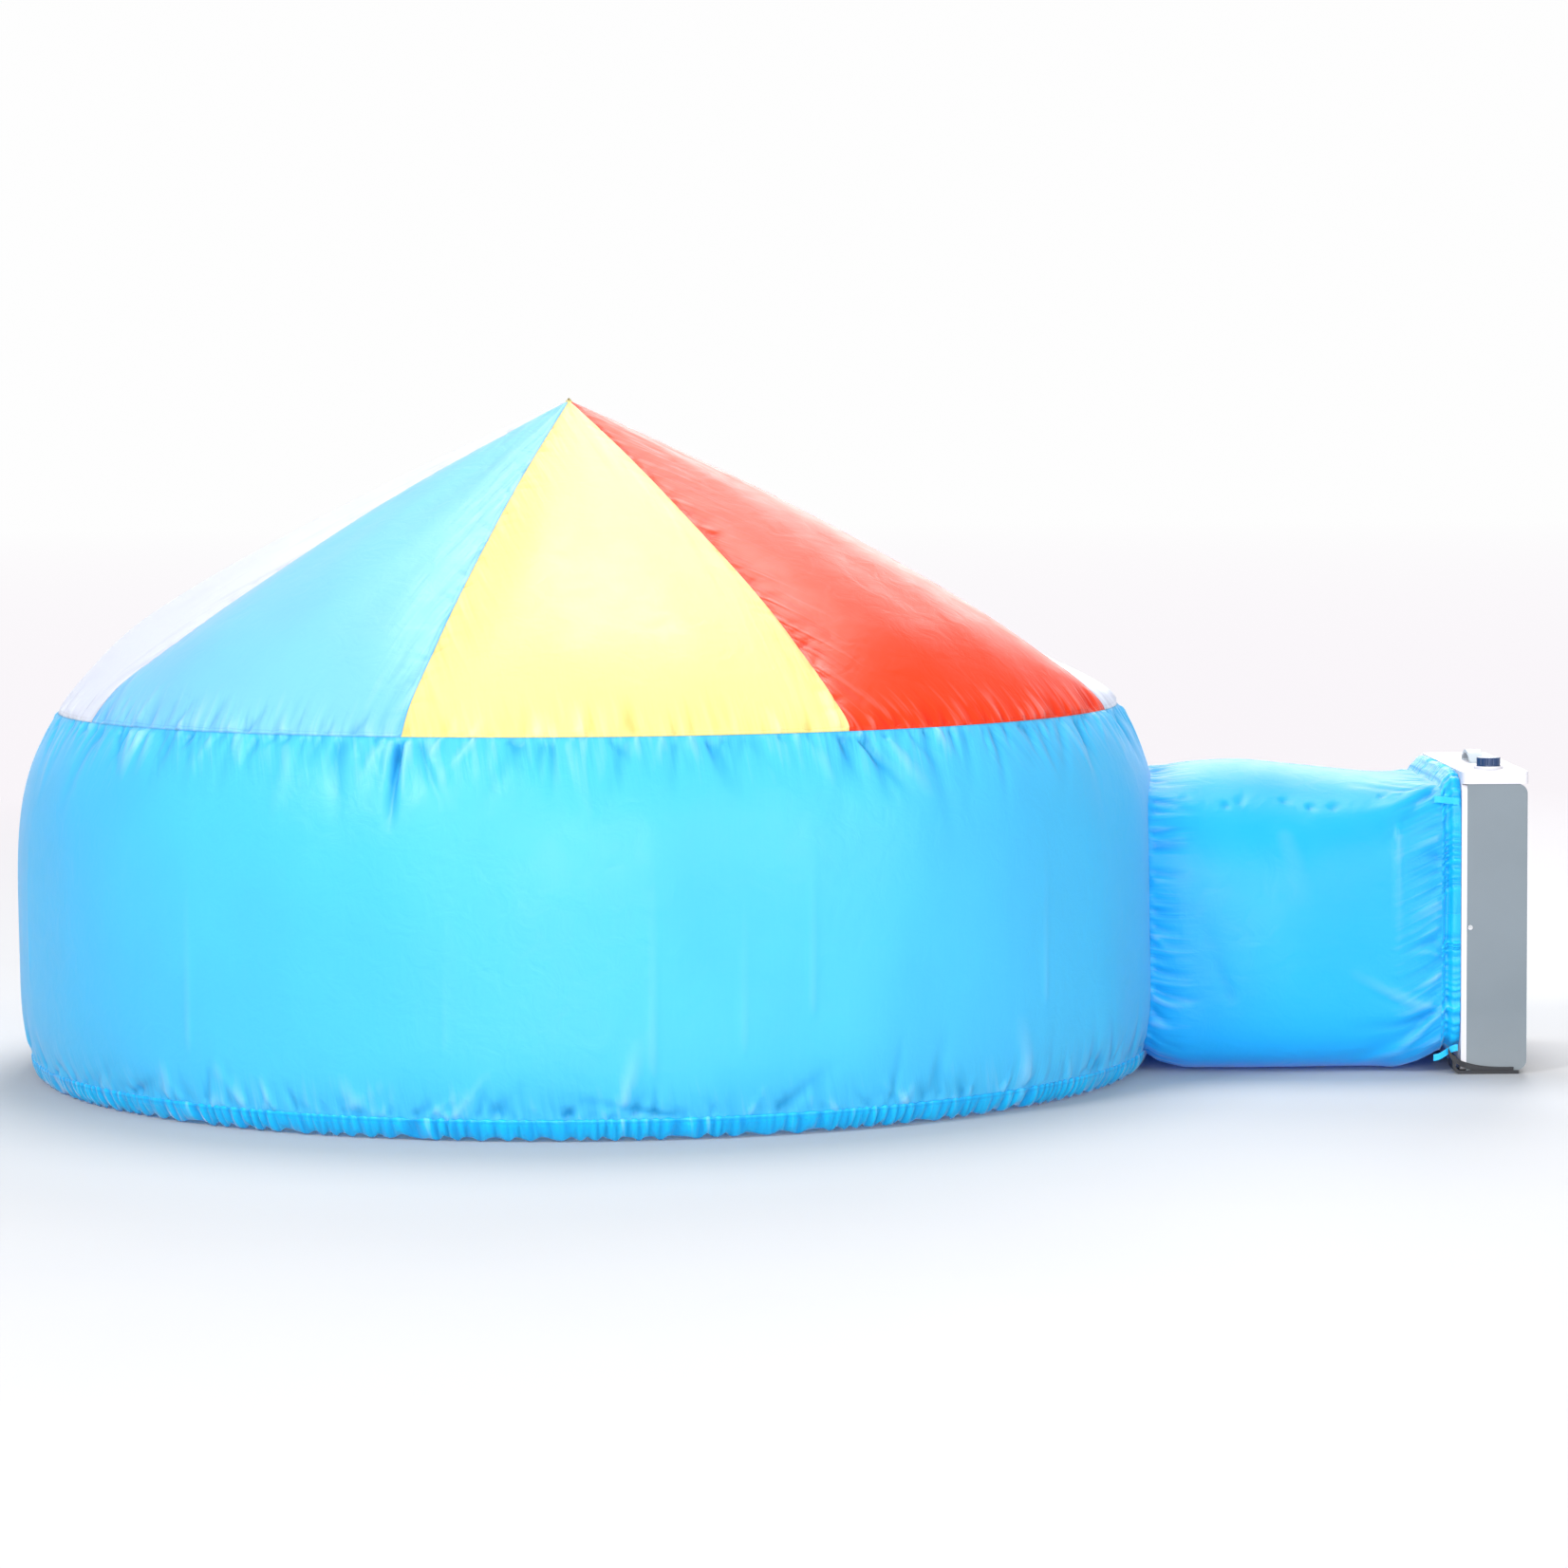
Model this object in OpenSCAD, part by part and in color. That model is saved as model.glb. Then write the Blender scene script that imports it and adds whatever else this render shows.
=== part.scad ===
// Air-inflated dome play tent with a fan tunnel, blown up by a 20-inch box fan.
// Millimetres, +Z up, +X from the dome towards the fan, origin on the floor under the
// middle of the whole object.

/* [Dome] */
// Widest radius of the dome wall
dome_r = 1055; // [900:5:1200]
// Height of the wall's widest point above the floor
bulge_z = 250; // [200:5:300]
// Radius of the seam between roof and wall
eave_r = 978; // [850:1:1000]
// Height of the seam between roof and wall
eave_z = 667; // [600:1:720]
// Height of the roof's peak
apex_z = 1232; // [1100:1:1350]
// How far the wall draws in at the floor
hem_in = 40; // [20:1:60]
// Thickness that stands for the fabric
cloth = 2.5; // [2:0.1:4]
// Direction of the first gore seam, measured from +X
gore_turn = -151.3; // [-180:0.1:-130]

/* [Hem] */
// Height of the ruched hem casing
hem_h = 38; // [30:1:50]
// Width of the elastic band inside the casing
elastic_w = 20; // [10:1:24]

/* [Door] */
// Width of the doorway in the back wall
door_w = 500; // [400:10:560]
// Bottom of the doorway above the floor
door_lo = 75; // [60:5:120]
// Top of the doorway above the floor
door_hi = 585; // [500:5:600]
// How far the flap overlaps the wall round the doorway
flap_lap = 30; // [20:1:40]

/* [Tunnel] */
// Outer width of the tunnel
tunnel_w = 560; // [500:5:580]
// Height of the tunnel above the floor
tunnel_h = 552; // [520:1:560]
// Radius of the tunnel's four long edges
tunnel_edge_r = 80; // [50:1:100]
// Length of the collar that grips the fan
collar_len = 33; // [20:1:50]

/* [Fan] */
// Distance from the dome's axis to the front of the fan
fan_reach = 1585; // [1500:5:1700]
// Width of the fan's case
fan_w = 520; // [510:1:530]
// Top of the steel case above the floor
case_top = 527; // [520:1:535]
// Depth of the fan from front grille to back of the case
fan_d = 119; // [110:1:130]
// Height of the plastic top cover
cover_h = 22; // [20:1:28]
// Radius of the blade's sweep
blade_r = 226; // [200:1:228]
// Number of blades
blade_count = 5; // [3:1:7]
// Number of rings in each grille
ring_count = 7; // [4:1:9]
// Number of spokes in each grille
spoke_count = 12; // [6:1:16]
// Where the speed knob stands across the fan
knob_y = -175; // [-210:5:-120]

/* [Hidden] */
$fn = 96;

// Fabric colours
SKY = [0.25, 0.80, 0.98];
DEEP_SKY = [0.12, 0.68, 0.96];
PALE_BLUE = [0.60, 0.87, 1.00];
LEMON = [0.98, 0.96, 0.68];
CORAL = [0.96, 0.32, 0.18];
WHITE_CLOTH = [0.92, 0.94, 0.97];
TAPE = [0.80, 0.86, 0.92];
// Fan colours
GREY_STEEL = [0.60, 0.66, 0.70];
WHITE_PLASTIC = [0.93, 0.94, 0.95];
NAVY = [0.10, 0.20, 0.38];
BLACK = [0.05, 0.06, 0.08];
BARE_STEEL = [0.70, 0.71, 0.73];

fan_over = 2;                                   // top cover past the case's back
fan_end = fan_d + fan_over;
dome_x = (dome_r - fan_reach - fan_end) / 2;    // dome axis in the shared frame
fan_x = dome_x + fan_reach;                     // front of the fan in the shared frame
case_lo = 6;                                    // underside of the steel case
sheet = 1.5;                                    // steel thickness
rim = 10;                                       // depth of the front grille's frame
hub_z = (case_lo + case_top) / 2;               // height of the fan's axis
duct_r = 236;                                   // air hole in grilles and shroud
shaft_r = 4;
gap = 0.5;                                      // clearance between parts that move
fine = 0.05;                                    // running clearance round a shaft
tape_t = 1.2;                                   // thickness of seam tapes
tape_w = 16;                                    // width of seam tapes
steps = 12;                                     // straight steps along the roof's curve
levels = 20;                                    // straight steps up the wall's curve
step_angle = 45;                                // one gore
tip_r = 14;                                     // radius where the gores' points stop
patch_r = 72;                                   // radius of the peak patch
flap_gap = 2.4;                                 // space for the fastening tapes
floor_bulge_z = 200;                            // below this the wall draws in
rise = apex_z - eave_z;
tunnel_root_cut = 900;                          // tunnel solids start inside the wall
collar_w = 516;
collar_lo = 38;
collar_hi = 545;
collar_edge_r = 60;
collar_cloth = 3;
shoulder = 3;                                   // thickness of the tunnel's end shoulder
motor_x = 66;                                   // front of the motor behind the front grille
motor_len = 34;
motor_r = 42;

// Radius of the wall's outside at height z, as a curve
function wall_curve(z) = dome_r
    - (z > bulge_z ? (dome_r - eave_r) * pow((z - bulge_z) / (eave_z - bulge_z), 4) : 0)
    - (z < floor_bulge_z ? hem_in * pow((floor_bulge_z - z) / floor_bulge_z, 3) : 0);
// The curve cut into straight steps that every strip along the wall shares
wall_levels = [for (i = [0:levels]) eave_z * i / levels];
wall_table = [for (z = wall_levels) [z, wall_curve(z)]];
function wall_r(z) = lookup(z, wall_table);
function heights(lo, hi) = concat([lo], [for (z = wall_levels) if (z > lo + 1 && z < hi - 1) z], [hi]);
// Points up the wall, moved out by d
function wall_line(lo, hi, d) = [for (z = heights(lo, hi)) [wall_r(z) + d, z]];
function backwards(list) = [for (i = [len(list) - 1:-1:0]) list[i]];
// Outside height of the roof at radius r, and the same for its inside
function roof_z(r) = eave_z + rise * pow(1 - r / eave_r, 0.75);
function roof_in_z(r) = eave_z + (rise - cloth * 1.2) * pow(1 - r / (eave_r - cloth), 0.75);
// Radii from r0 in to r_end, closer together at the eave
function roof_radii(r0, r_end) = [for (i = [0:steps]) r0 - (r0 - r_end) * pow(i / steps, 1.5)];
// Height of a straight step of the roof's inside at radius r
function under_roof_z(r) = lookup(r, roof_in_line(tip_r));
function roof_line(r_end) = [for (r = roof_radii(eave_r, r_end)) [r, roof_z(r)]];
function roof_in_line(r_end) = [for (r = roof_radii(eave_r - cloth, r_end)) [r, roof_in_z(r)]];

// Rounded rectangle about the origin
module rounded(w, h, r) {
    square([w - 2 * r, h], center = true);
    square([w, h - 2 * r], center = true);
    for (x = [-1, 1], y = [-1, 1])
        translate([x * (w / 2 - r), y * (h / 2 - r)]) circle(r);
}

// A flat outline drawn in Y and Z, pushed out along X from x0
module along_x(x0, length) {
    translate([x0, 0, 0]) rotate([90, 0, 90]) linear_extrude(length) children();
}

// A flat outline drawn in X and Z, pushed out along Y from y0
module along_y(y0, length) {
    translate([0, y0 + length, 0]) rotate([90, 0, 0]) linear_extrude(length) children();
}

// A turned part about the fan's axis: the outline is [distance along X, radius]
module on_fan_axis() {
    translate([fan_x, 0, hub_z]) rotate([0, 90, 0]) children();
}

// Part of the dome turned about its own axis
module turned(start, angle) {
    translate([dome_x, 0, 0]) rotate([0, 0, start]) rotate_extrude(angle = angle, $fn = 360) children();
}

// Strip between two distances outside the wall
module wall_strip(lo, hi, inner, outer) {
    polygon(concat(wall_line(lo, hi, outer), backwards(wall_line(lo, hi, inner))));
}

// ---- Roof ----
module gore(i) {
    turned(gore_turn + i * step_angle, step_angle)
        polygon(concat(roof_line(tip_r), backwards(roof_in_line(tip_r))));
}
module gore_blue_front_left() { color(PALE_BLUE) gore(0); }
module gore_yellow_front() { color(LEMON) gore(1); }
module gore_red_front_right() { color(CORAL) gore(2); }
module gore_white_right() { color(WHITE_CLOTH) gore(3); }
module gore_blue_back_right() { color(PALE_BLUE) gore(4); }
module gore_yellow_back() { color(LEMON) gore(5); }
module gore_red_back_left() { color(CORAL) gore(6); }
module gore_white_left() { color(WHITE_CLOTH) gore(7); }

// Round patch under the gores' points, with a button that closes the hole between them
module peak_patch() {
    button_r = tip_r - gap;
    edge = [for (i = [0:6]) button_r + (patch_r - button_r) * i / 6];
    color(WHITE_CLOTH) turned(0, 360)
        polygon(concat(
            [[0, apex_z], [tip_r / 3, apex_z - 1], [button_r, roof_z(button_r)]],
            [for (r = edge) [r, roof_in_z(r) - gap]],
            [for (r = backwards(edge)) [r, roof_in_z(r) - gap - cloth]],
            [[0, roof_in_z(0) - gap - cloth]]
        ));
}

// Eight narrow tapes on the inside of the gore seams
module gore_seam_tapes() {
    tape_top = patch_r + 12;
    eave_end = eave_r - cloth - 25;
    inner_radii = [for (p = roof_in_line(tip_r)) if (p[0] < eave_end - 5 && p[0] > tape_top + 5) p[0]];
    radii = concat([eave_end], inner_radii, [tape_top]);
    color(TAPE) translate([dome_x, 0, 0]) for (i = [0:7]) rotate([0, 0, gore_turn + i * step_angle])
        rotate([90, 0, 0]) translate([0, 0, -tape_w / 2]) linear_extrude(tape_w)
            polygon(concat(
                [for (r = radii) [r, under_roof_z(r) - gap]],
                [for (r = backwards(radii)) [r, under_roof_z(r) - gap - tape_t]]
            ));
}

// Ring of tape behind the seam between roof and wall
module eave_seam_tape() {
    color(TAPE) turned(0, 360) wall_strip(eave_z - tape_w, eave_z, -cloth - gap - tape_t, -cloth - gap);
}

// ---- Wall ----
module wall_panel(start) {
    turned(start, 90) wall_strip(hem_h, eave_z, -cloth, 0);
}
module door_outline(grow) {
    translate([dome_x, (door_lo + door_hi) / 2])
        rounded(door_w + 2 * grow, door_hi - door_lo + 2 * grow, 60 + grow);
}
module tunnel_outline(inset) {
    translate([0, tunnel_h / 2])
        rounded(tunnel_w - 2 * inset, tunnel_h - 2 * inset, tunnel_edge_r - inset);
}
module wall_front() { color(SKY) wall_panel(225); }
module wall_left() { color(SKY) wall_panel(135); }
module wall_right_inlet() {
    color(SKY) difference() {
        wall_panel(-45);
        along_x(dome_x + tunnel_root_cut, 300) tunnel_outline(cloth);
    }
}
module wall_back_doorway() {
    color(SKY) difference() {
        wall_panel(45);
        along_y(dome_r - 200, 300) door_outline(0);
    }
}
module wall_seam_tapes() {
    half_turn = asin(tape_w / 2 / dome_r);
    color(TAPE) for (a = [45:90:315])
        turned(a - half_turn, 2 * half_turn)
            wall_strip(hem_h + 6, eave_z - tape_w - 2, -cloth - gap - tape_t, -cloth - gap);
}

// ---- Hem ----
hem_out = 3;                                    // the ruched casing stands proud of the wall
hem_deep = 9;
module hem_casing() {
    slit = 3;
    floor_t = 6;
    color(DEEP_SKY) turned(0, 360) difference() {
        wall_strip(0, hem_h, -hem_deep, hem_out);
        wall_strip(floor_t, floor_t + elastic_w + 2, -hem_deep + 3, hem_out - 3);
        translate([wall_r(floor_t + slit) - hem_deep - 5, floor_t]) square([10, slit]);
    }
}
module hem_elastic() {
    color(WHITE_CLOTH) turned(0, 360) wall_strip(6, 6 + elastic_w, -hem_deep + 4, hem_out - 4);
}

// ---- Door ----
module shell_behind(inner, outer) {
    turned(60, 60) wall_strip(door_lo - 45, door_hi + 45, inner, outer);
}
module doorway_binding() {
    color(TAPE) intersection() {
        shell_behind(-cloth - gap - tape_t, -cloth - gap);
        difference() {
            along_y(dome_r - 200, 300) door_outline(tape_w);
            along_y(dome_r - 201, 302) door_outline(0);
        }
    }
}
// Fastening strips beside the doorway: the side edge away from the hinge, and the top
module fastening(inner, outer) {
    strip = 20;
    intersection() {
        shell_behind(inner, outer);
        along_y(dome_r - 200, 300) union() {
            translate([dome_x - door_w / 2 - strip - 4, door_lo + 60])
                square([strip, door_hi - door_lo - 120]);
            translate([dome_x - door_w / 2 + 60, door_hi + 4]) square([door_w - 120, strip]);
        }
    }
}
module hook_tapes() { color(WHITE_CLOTH) fastening(0.3, 1); }
module loop_tapes() { color(WHITE_CLOTH) fastening(flap_gap - 1, flap_gap - 0.3); }
module door_flap() {
    color(SKY) intersection() {
        shell_behind(flap_gap, flap_gap + cloth);
        along_y(dome_r - 200, 300) door_outline(flap_lap);
    }
}
// Stitched strip that joins the flap's hinge edge to the wall
module flap_hinge_binding() {
    edge = dome_x + door_w / 2 + flap_lap + 5 * gap;
    color(DEEP_SKY) intersection() {
        shell_behind(0.3, flap_gap + cloth);
        along_y(dome_r - 200, 300) translate([edge, door_lo + 30]) square([12, door_hi - door_lo - 60]);
    }
}

// ---- Tunnel ----
module dome_body() {
    turned(0, 360) polygon(concat(
        [[0, 0]], wall_line(0, hem_h, hem_out),
        wall_line(hem_h, eave_z, 0), [[0, eave_z]]
    ));
}
shoulder_x = fan_x - collar_len - shoulder;      // where the tunnel's panels end
module tunnel_part() {
    difference() {
        intersection() {
            along_x(dome_x + tunnel_root_cut, shoulder_x - dome_x - tunnel_root_cut)
                difference() {
                    tunnel_outline(0);
                    tunnel_outline(cloth);
                }
            children();
        }
        dome_body();
    }
}
module slab(y0, y1, z0, z1) {
    translate([dome_x, y0, z0]) cube([fan_reach, y1 - y0, z1 - z0]);
}
edge_hi = tunnel_h - tunnel_edge_r;
module tunnel_top() { color(SKY) tunnel_part() slab(-400, 400, edge_hi, 600); }
module tunnel_floor() { color(SKY) tunnel_part() slab(-400, 400, -1, tunnel_edge_r); }
module tunnel_near_side() { color(SKY) tunnel_part() slab(-400, 0, tunnel_edge_r, edge_hi); }
module tunnel_far_side() { color(SKY) tunnel_part() slab(0, 400, tunnel_edge_r, edge_hi); }

// Tape round the air inlet, inside the wall
module inlet_seam_tape() {
    color(TAPE) difference() {
        intersection() {
            turned(-25, 50) wall_strip(hem_h + 4, eave_z - 30, -cloth - gap - tape_t, -cloth - gap);
            along_x(dome_x + tunnel_root_cut, 300) tunnel_outline(-tape_w);
        }
        along_x(dome_x + tunnel_root_cut - 1, 302) tunnel_outline(cloth);
    }
}
module collar_outline(inset) {
    translate([0, (collar_lo + collar_hi) / 2])
        rounded(collar_w - 2 * inset, collar_hi - collar_lo - 2 * inset, collar_edge_r - inset);
}
// Shoulder that closes the tunnel's end down to the fan, and the sleeve that meets the fan
module fan_collar() {
    color(DEEP_SKY) difference() {
        union() {
            along_x(shoulder_x, shoulder) tunnel_outline(0);
            along_x(shoulder_x, shoulder + collar_len - 1) collar_outline(0);
        }
        along_x(shoulder_x - 1, shoulder + collar_len + 2) collar_outline(collar_cloth);
    }
}
module collar_elastic() {
    color(WHITE_CLOTH) along_x(fan_x - 16, 10) difference() {
        collar_outline(-2);
        collar_outline(0);
    }
}
// Short straps from the collar's corners back along the case
module corner_ties() {
    color(WHITE_CLOTH) for (y = [-1, 1], z = [62, 470])
        translate([fan_x - 20, y * (fan_w / 2 + 2.2) - 0.8, z]) cube([46, 1.6, 14]);
}

// ---- Fan ----
module case_outline(inset) {
    back_r = 18;
    w = fan_d - rim;
    h = case_top - case_lo;
    translate([fan_x + rim, case_lo]) {
        translate([0, inset]) square([w - back_r, h - 2 * inset]);
        translate([0, back_r]) square([w - inset, h - 2 * back_r]);
        for (z = [back_r, h - back_r]) translate([w - back_r, z]) circle(back_r - inset);
    }
}
lug_x = fan_x + rim + 6;                         // screws through the case's front edge
gland_x = fan_x + 88;
gland_z = 46;
module fan_case() {
    flange = 16;
    color(GREY_STEEL) difference() {
        along_y(-fan_w / 2, fan_w) case_outline(0);
        along_y(-fan_w / 2 + sheet, fan_w - 2 * sheet) difference() {
            case_outline(sheet);
        }
        translate([fan_x, -fan_w / 2 + flange, case_lo + flange])
            cube([fan_d + 5, fan_w - 2 * flange, case_top - case_lo - 2 * flange]);
        translate([fan_x, -fan_w / 2 + sheet, case_lo + sheet])
            cube([rim + 5, fan_w - 2 * sheet, case_top - case_lo - 2 * sheet]);
        for (y = [-1, 1]) translate([lug_x, y * fan_w / 2, hub_z]) rotate([90, 0, 0])
            cylinder(r = 2, h = 10, center = true);
        translate([gland_x, fan_w / 2, gland_z]) rotate([90, 0, 0])
            cylinder(r = 8, h = 10, center = true);
        translate([fan_x + 60, knob_y + 40, case_top]) cylinder(r = 6, h = 10, center = true);
    }
}
module fan_top_cover() {
    wall = 2.5;
    color(WHITE_PLASTIC) difference() {
        translate([fan_x + fan_end / 2, 0, case_top]) linear_extrude(cover_h)
            rounded(fan_end, fan_w + 4, 10);
        translate([fan_x + fan_end / 2, 0, case_top - 1]) linear_extrude(cover_h + 1 - wall)
            rounded(fan_end - 2 * wall, fan_w + 4 - 2 * wall, 8);
        translate([fan_x + fan_end / 2, knob_y, case_top]) cylinder(r = 4.5, h = 60);
    }
}
// Rings and spokes of a grille, about the fan's axis
module grille_bars(x0, depth) {
    bar = 3;
    inner_r = 46;
    on_fan_axis() translate([0, 0, x0]) {
        for (i = [1:ring_count]) {
            r = inner_r + (duct_r - inner_r) * i / (ring_count + 1);
            difference() {
                cylinder(r = r + bar / 2, h = depth);
                translate([0, 0, -1]) cylinder(r = r - bar / 2, h = depth + 2);
            }
        }
        cylinder(r = inner_r, h = depth);
        for (i = [0:spoke_count - 1]) rotate([0, 0, i * 360 / spoke_count])
            translate([inner_r - 2, -bar / 2, 0]) cube([duct_r - inner_r + 6, bar, depth]);
    }
}
module front_grille() {
    frame_w = fan_w - 2 * sheet - 1;
    lo = case_lo + sheet + 0.5;
    color(WHITE_PLASTIC) union() {
        difference() {
            union() {
                along_x(fan_x, rim) difference() {
                    translate([0, hub_z]) rounded(fan_w, case_top - case_lo, 12);
                    translate([0, hub_z]) rounded(fan_w - 16, case_top - case_lo - 16, 6);
                }
                along_x(fan_x, 3) translate([0, hub_z]) rounded(fan_w - 8, case_top - case_lo - 8, 12);
                along_x(fan_x + rim, 14) difference() {
                    translate([0, hub_z]) square([frame_w, case_top - lo - sheet - 0.5], center = true);
                    translate([0, hub_z]) square([frame_w - 16, case_top - lo - 17], center = true);
                }
            }
            on_fan_axis() translate([0, 0, -1]) cylinder(r = duct_r, h = rim + 2);
            for (y = [-1, 1]) translate([lug_x, y * fan_w / 2, hub_z]) rotate([90, 0, 0])
                cylinder(r = 2, h = 16, center = true);
        }
        grille_bars(1, 5);
    }
}
module rear_grille() {
    plate = fan_w - 2 * 20;
    plate_h = case_top - case_lo - 2 * 20;
    color(WHITE_PLASTIC) union() {
        difference() {
            along_x(fan_x + fan_d - 5, 3) translate([0, hub_z]) rounded(plate + 24, plate_h + 10, 6);
            on_fan_axis() translate([0, 0, fan_d - 10]) cylinder(r = duct_r, h = 12);
        }
        grille_bars(fan_d - 6, 5);
    }
}
// Plate with a rolled ring round the blade, between the case's walls
module blade_shroud() {
    inside = fan_w - 2 * sheet;
    inside_h = case_top - case_lo - 2 * sheet;
    ring_r = duct_r - 2;
    color(BARE_STEEL) difference() {
        union() {
            along_x(fan_x + 62, 1.5) translate([0, hub_z]) square([inside, inside_h], center = true);
            on_fan_axis() translate([0, 0, 26]) cylinder(r = ring_r, h = 37);
        }
        on_fan_axis() translate([0, 0, 20]) cylinder(r = ring_r - 1.5, h = 60);
    }
}

// ---- Motor ----
module motor_bracket() {
    bar_h = 14;
    inside = fan_w - 2 * sheet;
    color(BARE_STEEL) for (z = [-30, 30])
        translate([fan_x + motor_x + motor_len, -inside / 2, hub_z + z - bar_h / 2])
            cube([3, inside, bar_h]);
}
// Half of the motor's shell: a cup with a bearing seat
module motor_cup(x0, length, floor_first) {
    wall = 3;
    on_fan_axis() difference() {
        translate([0, 0, x0]) cylinder(r = motor_r, h = length);
        translate([0, 0, floor_first ? x0 + wall : x0 - 1]) cylinder(r = motor_r - wall, h = length - wall + 1);
        translate([0, 0, x0 - 1]) cylinder(r = 8, h = length + 2);
    }
}
module motor_front_shell() { color(BARE_STEEL) motor_cup(motor_x, motor_len / 2, true); }
module motor_rear_shell() { color(BARE_STEEL) motor_cup(motor_x + motor_len / 2, motor_len / 2, false); }
module motor_stator() {
    color([0.45, 0.36, 0.28]) on_fan_axis() translate([0, 0, motor_x + 3]) difference() {
        cylinder(r = motor_r - 3.2, h = motor_len - 6);
        translate([0, 0, -1]) cylinder(r = 22, h = motor_len);
    }
}
module motor_bearings() {
    color([0.72, 0.56, 0.32]) on_fan_axis() for (x = [motor_x - 1, motor_x + motor_len - 5])
        translate([0, 0, x]) difference() {
            cylinder(r = 8, h = 6);
            translate([0, 0, -1]) cylinder(r = shaft_r + fine, h = 8);
        }
}
module motor_rotor() {
    color(BARE_STEEL) on_fan_axis() translate([0, 0, motor_x + 7]) difference() {
        cylinder(r = 21.5, h = motor_len - 14);
        translate([0, 0, -1]) cylinder(r = shaft_r, h = motor_len);
    }
}
module motor_shaft() {
    color(BARE_STEEL) on_fan_axis() translate([0, 0, 22]) cylinder(r = shaft_r, h = 76);
}
// Cambered blades set at an angle round a hub
module fan_blade() {
    hub_r = 38;
    hub_x = 28;
    hub_len = 28;
    pitch = 28;
    camber_r = 150;
    chord = 130;
    skin = 2.2;
    color([0.86, 0.88, 0.90]) difference() {
        union() {
            on_fan_axis() translate([0, 0, hub_x]) cylinder(r = hub_r, h = hub_len);
            intersection() {
                on_fan_axis() translate([0, 0, 12]) cylinder(r = blade_r, h = 50);
                translate([fan_x + hub_x + hub_len / 2, 0, hub_z])
                    for (i = [0:blade_count - 1]) rotate([i * 360 / blade_count, 0, 0])
                        rotate([0, 0, pitch]) translate([camber_r, 0, hub_r - 6]) linear_extrude(220)
                            intersection() {
                                difference() {
                                    circle(camber_r);
                                    circle(camber_r - skin);
                                }
                                translate([-camber_r - 5, -chord / 2]) square([60, chord]);
                            }
            }
        }
        on_fan_axis() cylinder(r = shaft_r, h = 80);
        on_fan_axis() translate([0, 0, hub_x + 6]) difference() {
            cylinder(r = hub_r - 3, h = hub_len);
            cylinder(r = 10, h = hub_len + 1);
        }
    }
}
module blade_lock_nut() {
    color(BLACK) on_fan_axis() translate([0, 0, 20]) difference() {
        cylinder(r = 9, h = 8, $fn = 6);
        translate([0, 0, 2]) cylinder(r = shaft_r, h = 8);
    }
}

// ---- Controls and handle ----
deck = case_top + cover_h;                       // top of the cover
control_x = fan_x + fan_end / 2;
stem_r = 3;
module rotary_switch() {
    body_h = 14;
    color(BLACK) translate([control_x, knob_y, deck - 2.5 - body_h]) difference() {
        translate([-16, -14, 0]) cube([32, 28, body_h]);
        translate([0, 0, 3]) cylinder(r = stem_r + fine, h = body_h);
    }
}
module dial_ring() {
    color(WHITE_PLASTIC) translate([control_x, knob_y, deck]) difference() {
        cylinder(r = 27, h = 5);
        translate([0, 0, -1]) cylinder(r = 4.5, h = 8);
        translate([0, 0, 3]) cylinder(r = 22.5, h = 8);
    }
}
module speed_knob() {
    grip_r = 21.5;
    base = deck + 3 + gap;
    color(NAVY) translate([control_x, knob_y, 0]) difference() {
        union() {
            translate([0, 0, base]) cylinder(r = grip_r, h = 17);
            translate([0, 0, deck - 2.5 - 10]) cylinder(r = stem_r, h = 20);
        }
        for (i = [0:11]) rotate([0, 0, i * 30 + 15]) translate([grip_r + 1.6, 0, base + 4])
            cylinder(r = 3, h = 30);
        translate([10, -1, base + 16]) cube([9, 2, 3]);
    }
}
module run_capacitor() {
    color([0.20, 0.21, 0.22]) translate([control_x - 14, knob_y + 60, deck - 2.5 - 14]) cube([28, 40, 14]);
}
// Arched handle on two pads
module carry_handle() {
    half = 58;
    lift = 22;
    bow = (half * half + lift * lift) / (2 * lift);
    grip_t = 6;
    color([0.64, 0.68, 0.72]) intersection() {
        translate([control_x - 13, 20, deck]) rotate([90, 0, 90]) linear_extrude(26) union() {
            intersection() {
                translate([0, lift - bow]) difference() {
                    circle(bow);
                    circle(bow - grip_t);
                }
                translate([-half, 0]) square([2 * half, lift + 1]);
            }
            for (y = [-half, half - 14]) translate([y, 0]) square([14, 3]);
        }
        translate([control_x, 20, deck]) linear_extrude(40) rounded(26, 2 * half, 8);
    }
}
// Plastic foot under the case, with its nose turned up in front of the grille
module fan_foot(y0) {
    nose = 16;
    lift = 34;
    bend = nose;
    color(BLACK) along_y(y0, 46) translate([fan_x, 0]) union() {
        square([fan_d - 15, case_lo]);
        intersection() {
            difference() {
                translate([0, bend]) circle(bend);
                translate([0, bend]) circle(bend - case_lo);
            }
            translate([-nose, 0]) square([bend, bend]);
        }
        translate([-nose, bend]) square([case_lo, lift - bend]);
    }
}
module fan_foot_near() { fan_foot(-fan_w / 2 - 8); }
module fan_foot_far() { fan_foot(fan_w / 2 - 38); }
module case_screws() {
    color(BARE_STEEL) for (y = [-1, 1])
        translate([lug_x, y * fan_w / 2, hub_z]) rotate([y * -90, 0, 0]) {
            cylinder(r = 4.5, h = 2);
            translate([0, 0, -6]) cylinder(r = 1.8, h = 6.5);
        }
}
module cord_gland() {
    color(BLACK) translate([gland_x, fan_w / 2, gland_z]) rotate([-90, 0, 0]) difference() {
        union() {
            cylinder(r = 11, h = 3);
            translate([0, 0, -8]) cylinder(r = 7.8, h = 12);
            translate([0, 0, 3]) cylinder(r1 = 9, r2 = 6, h = 5);
        }
        translate([0, 0, -9]) cylinder(r = 3.6, h = 30);
    }
}

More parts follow.
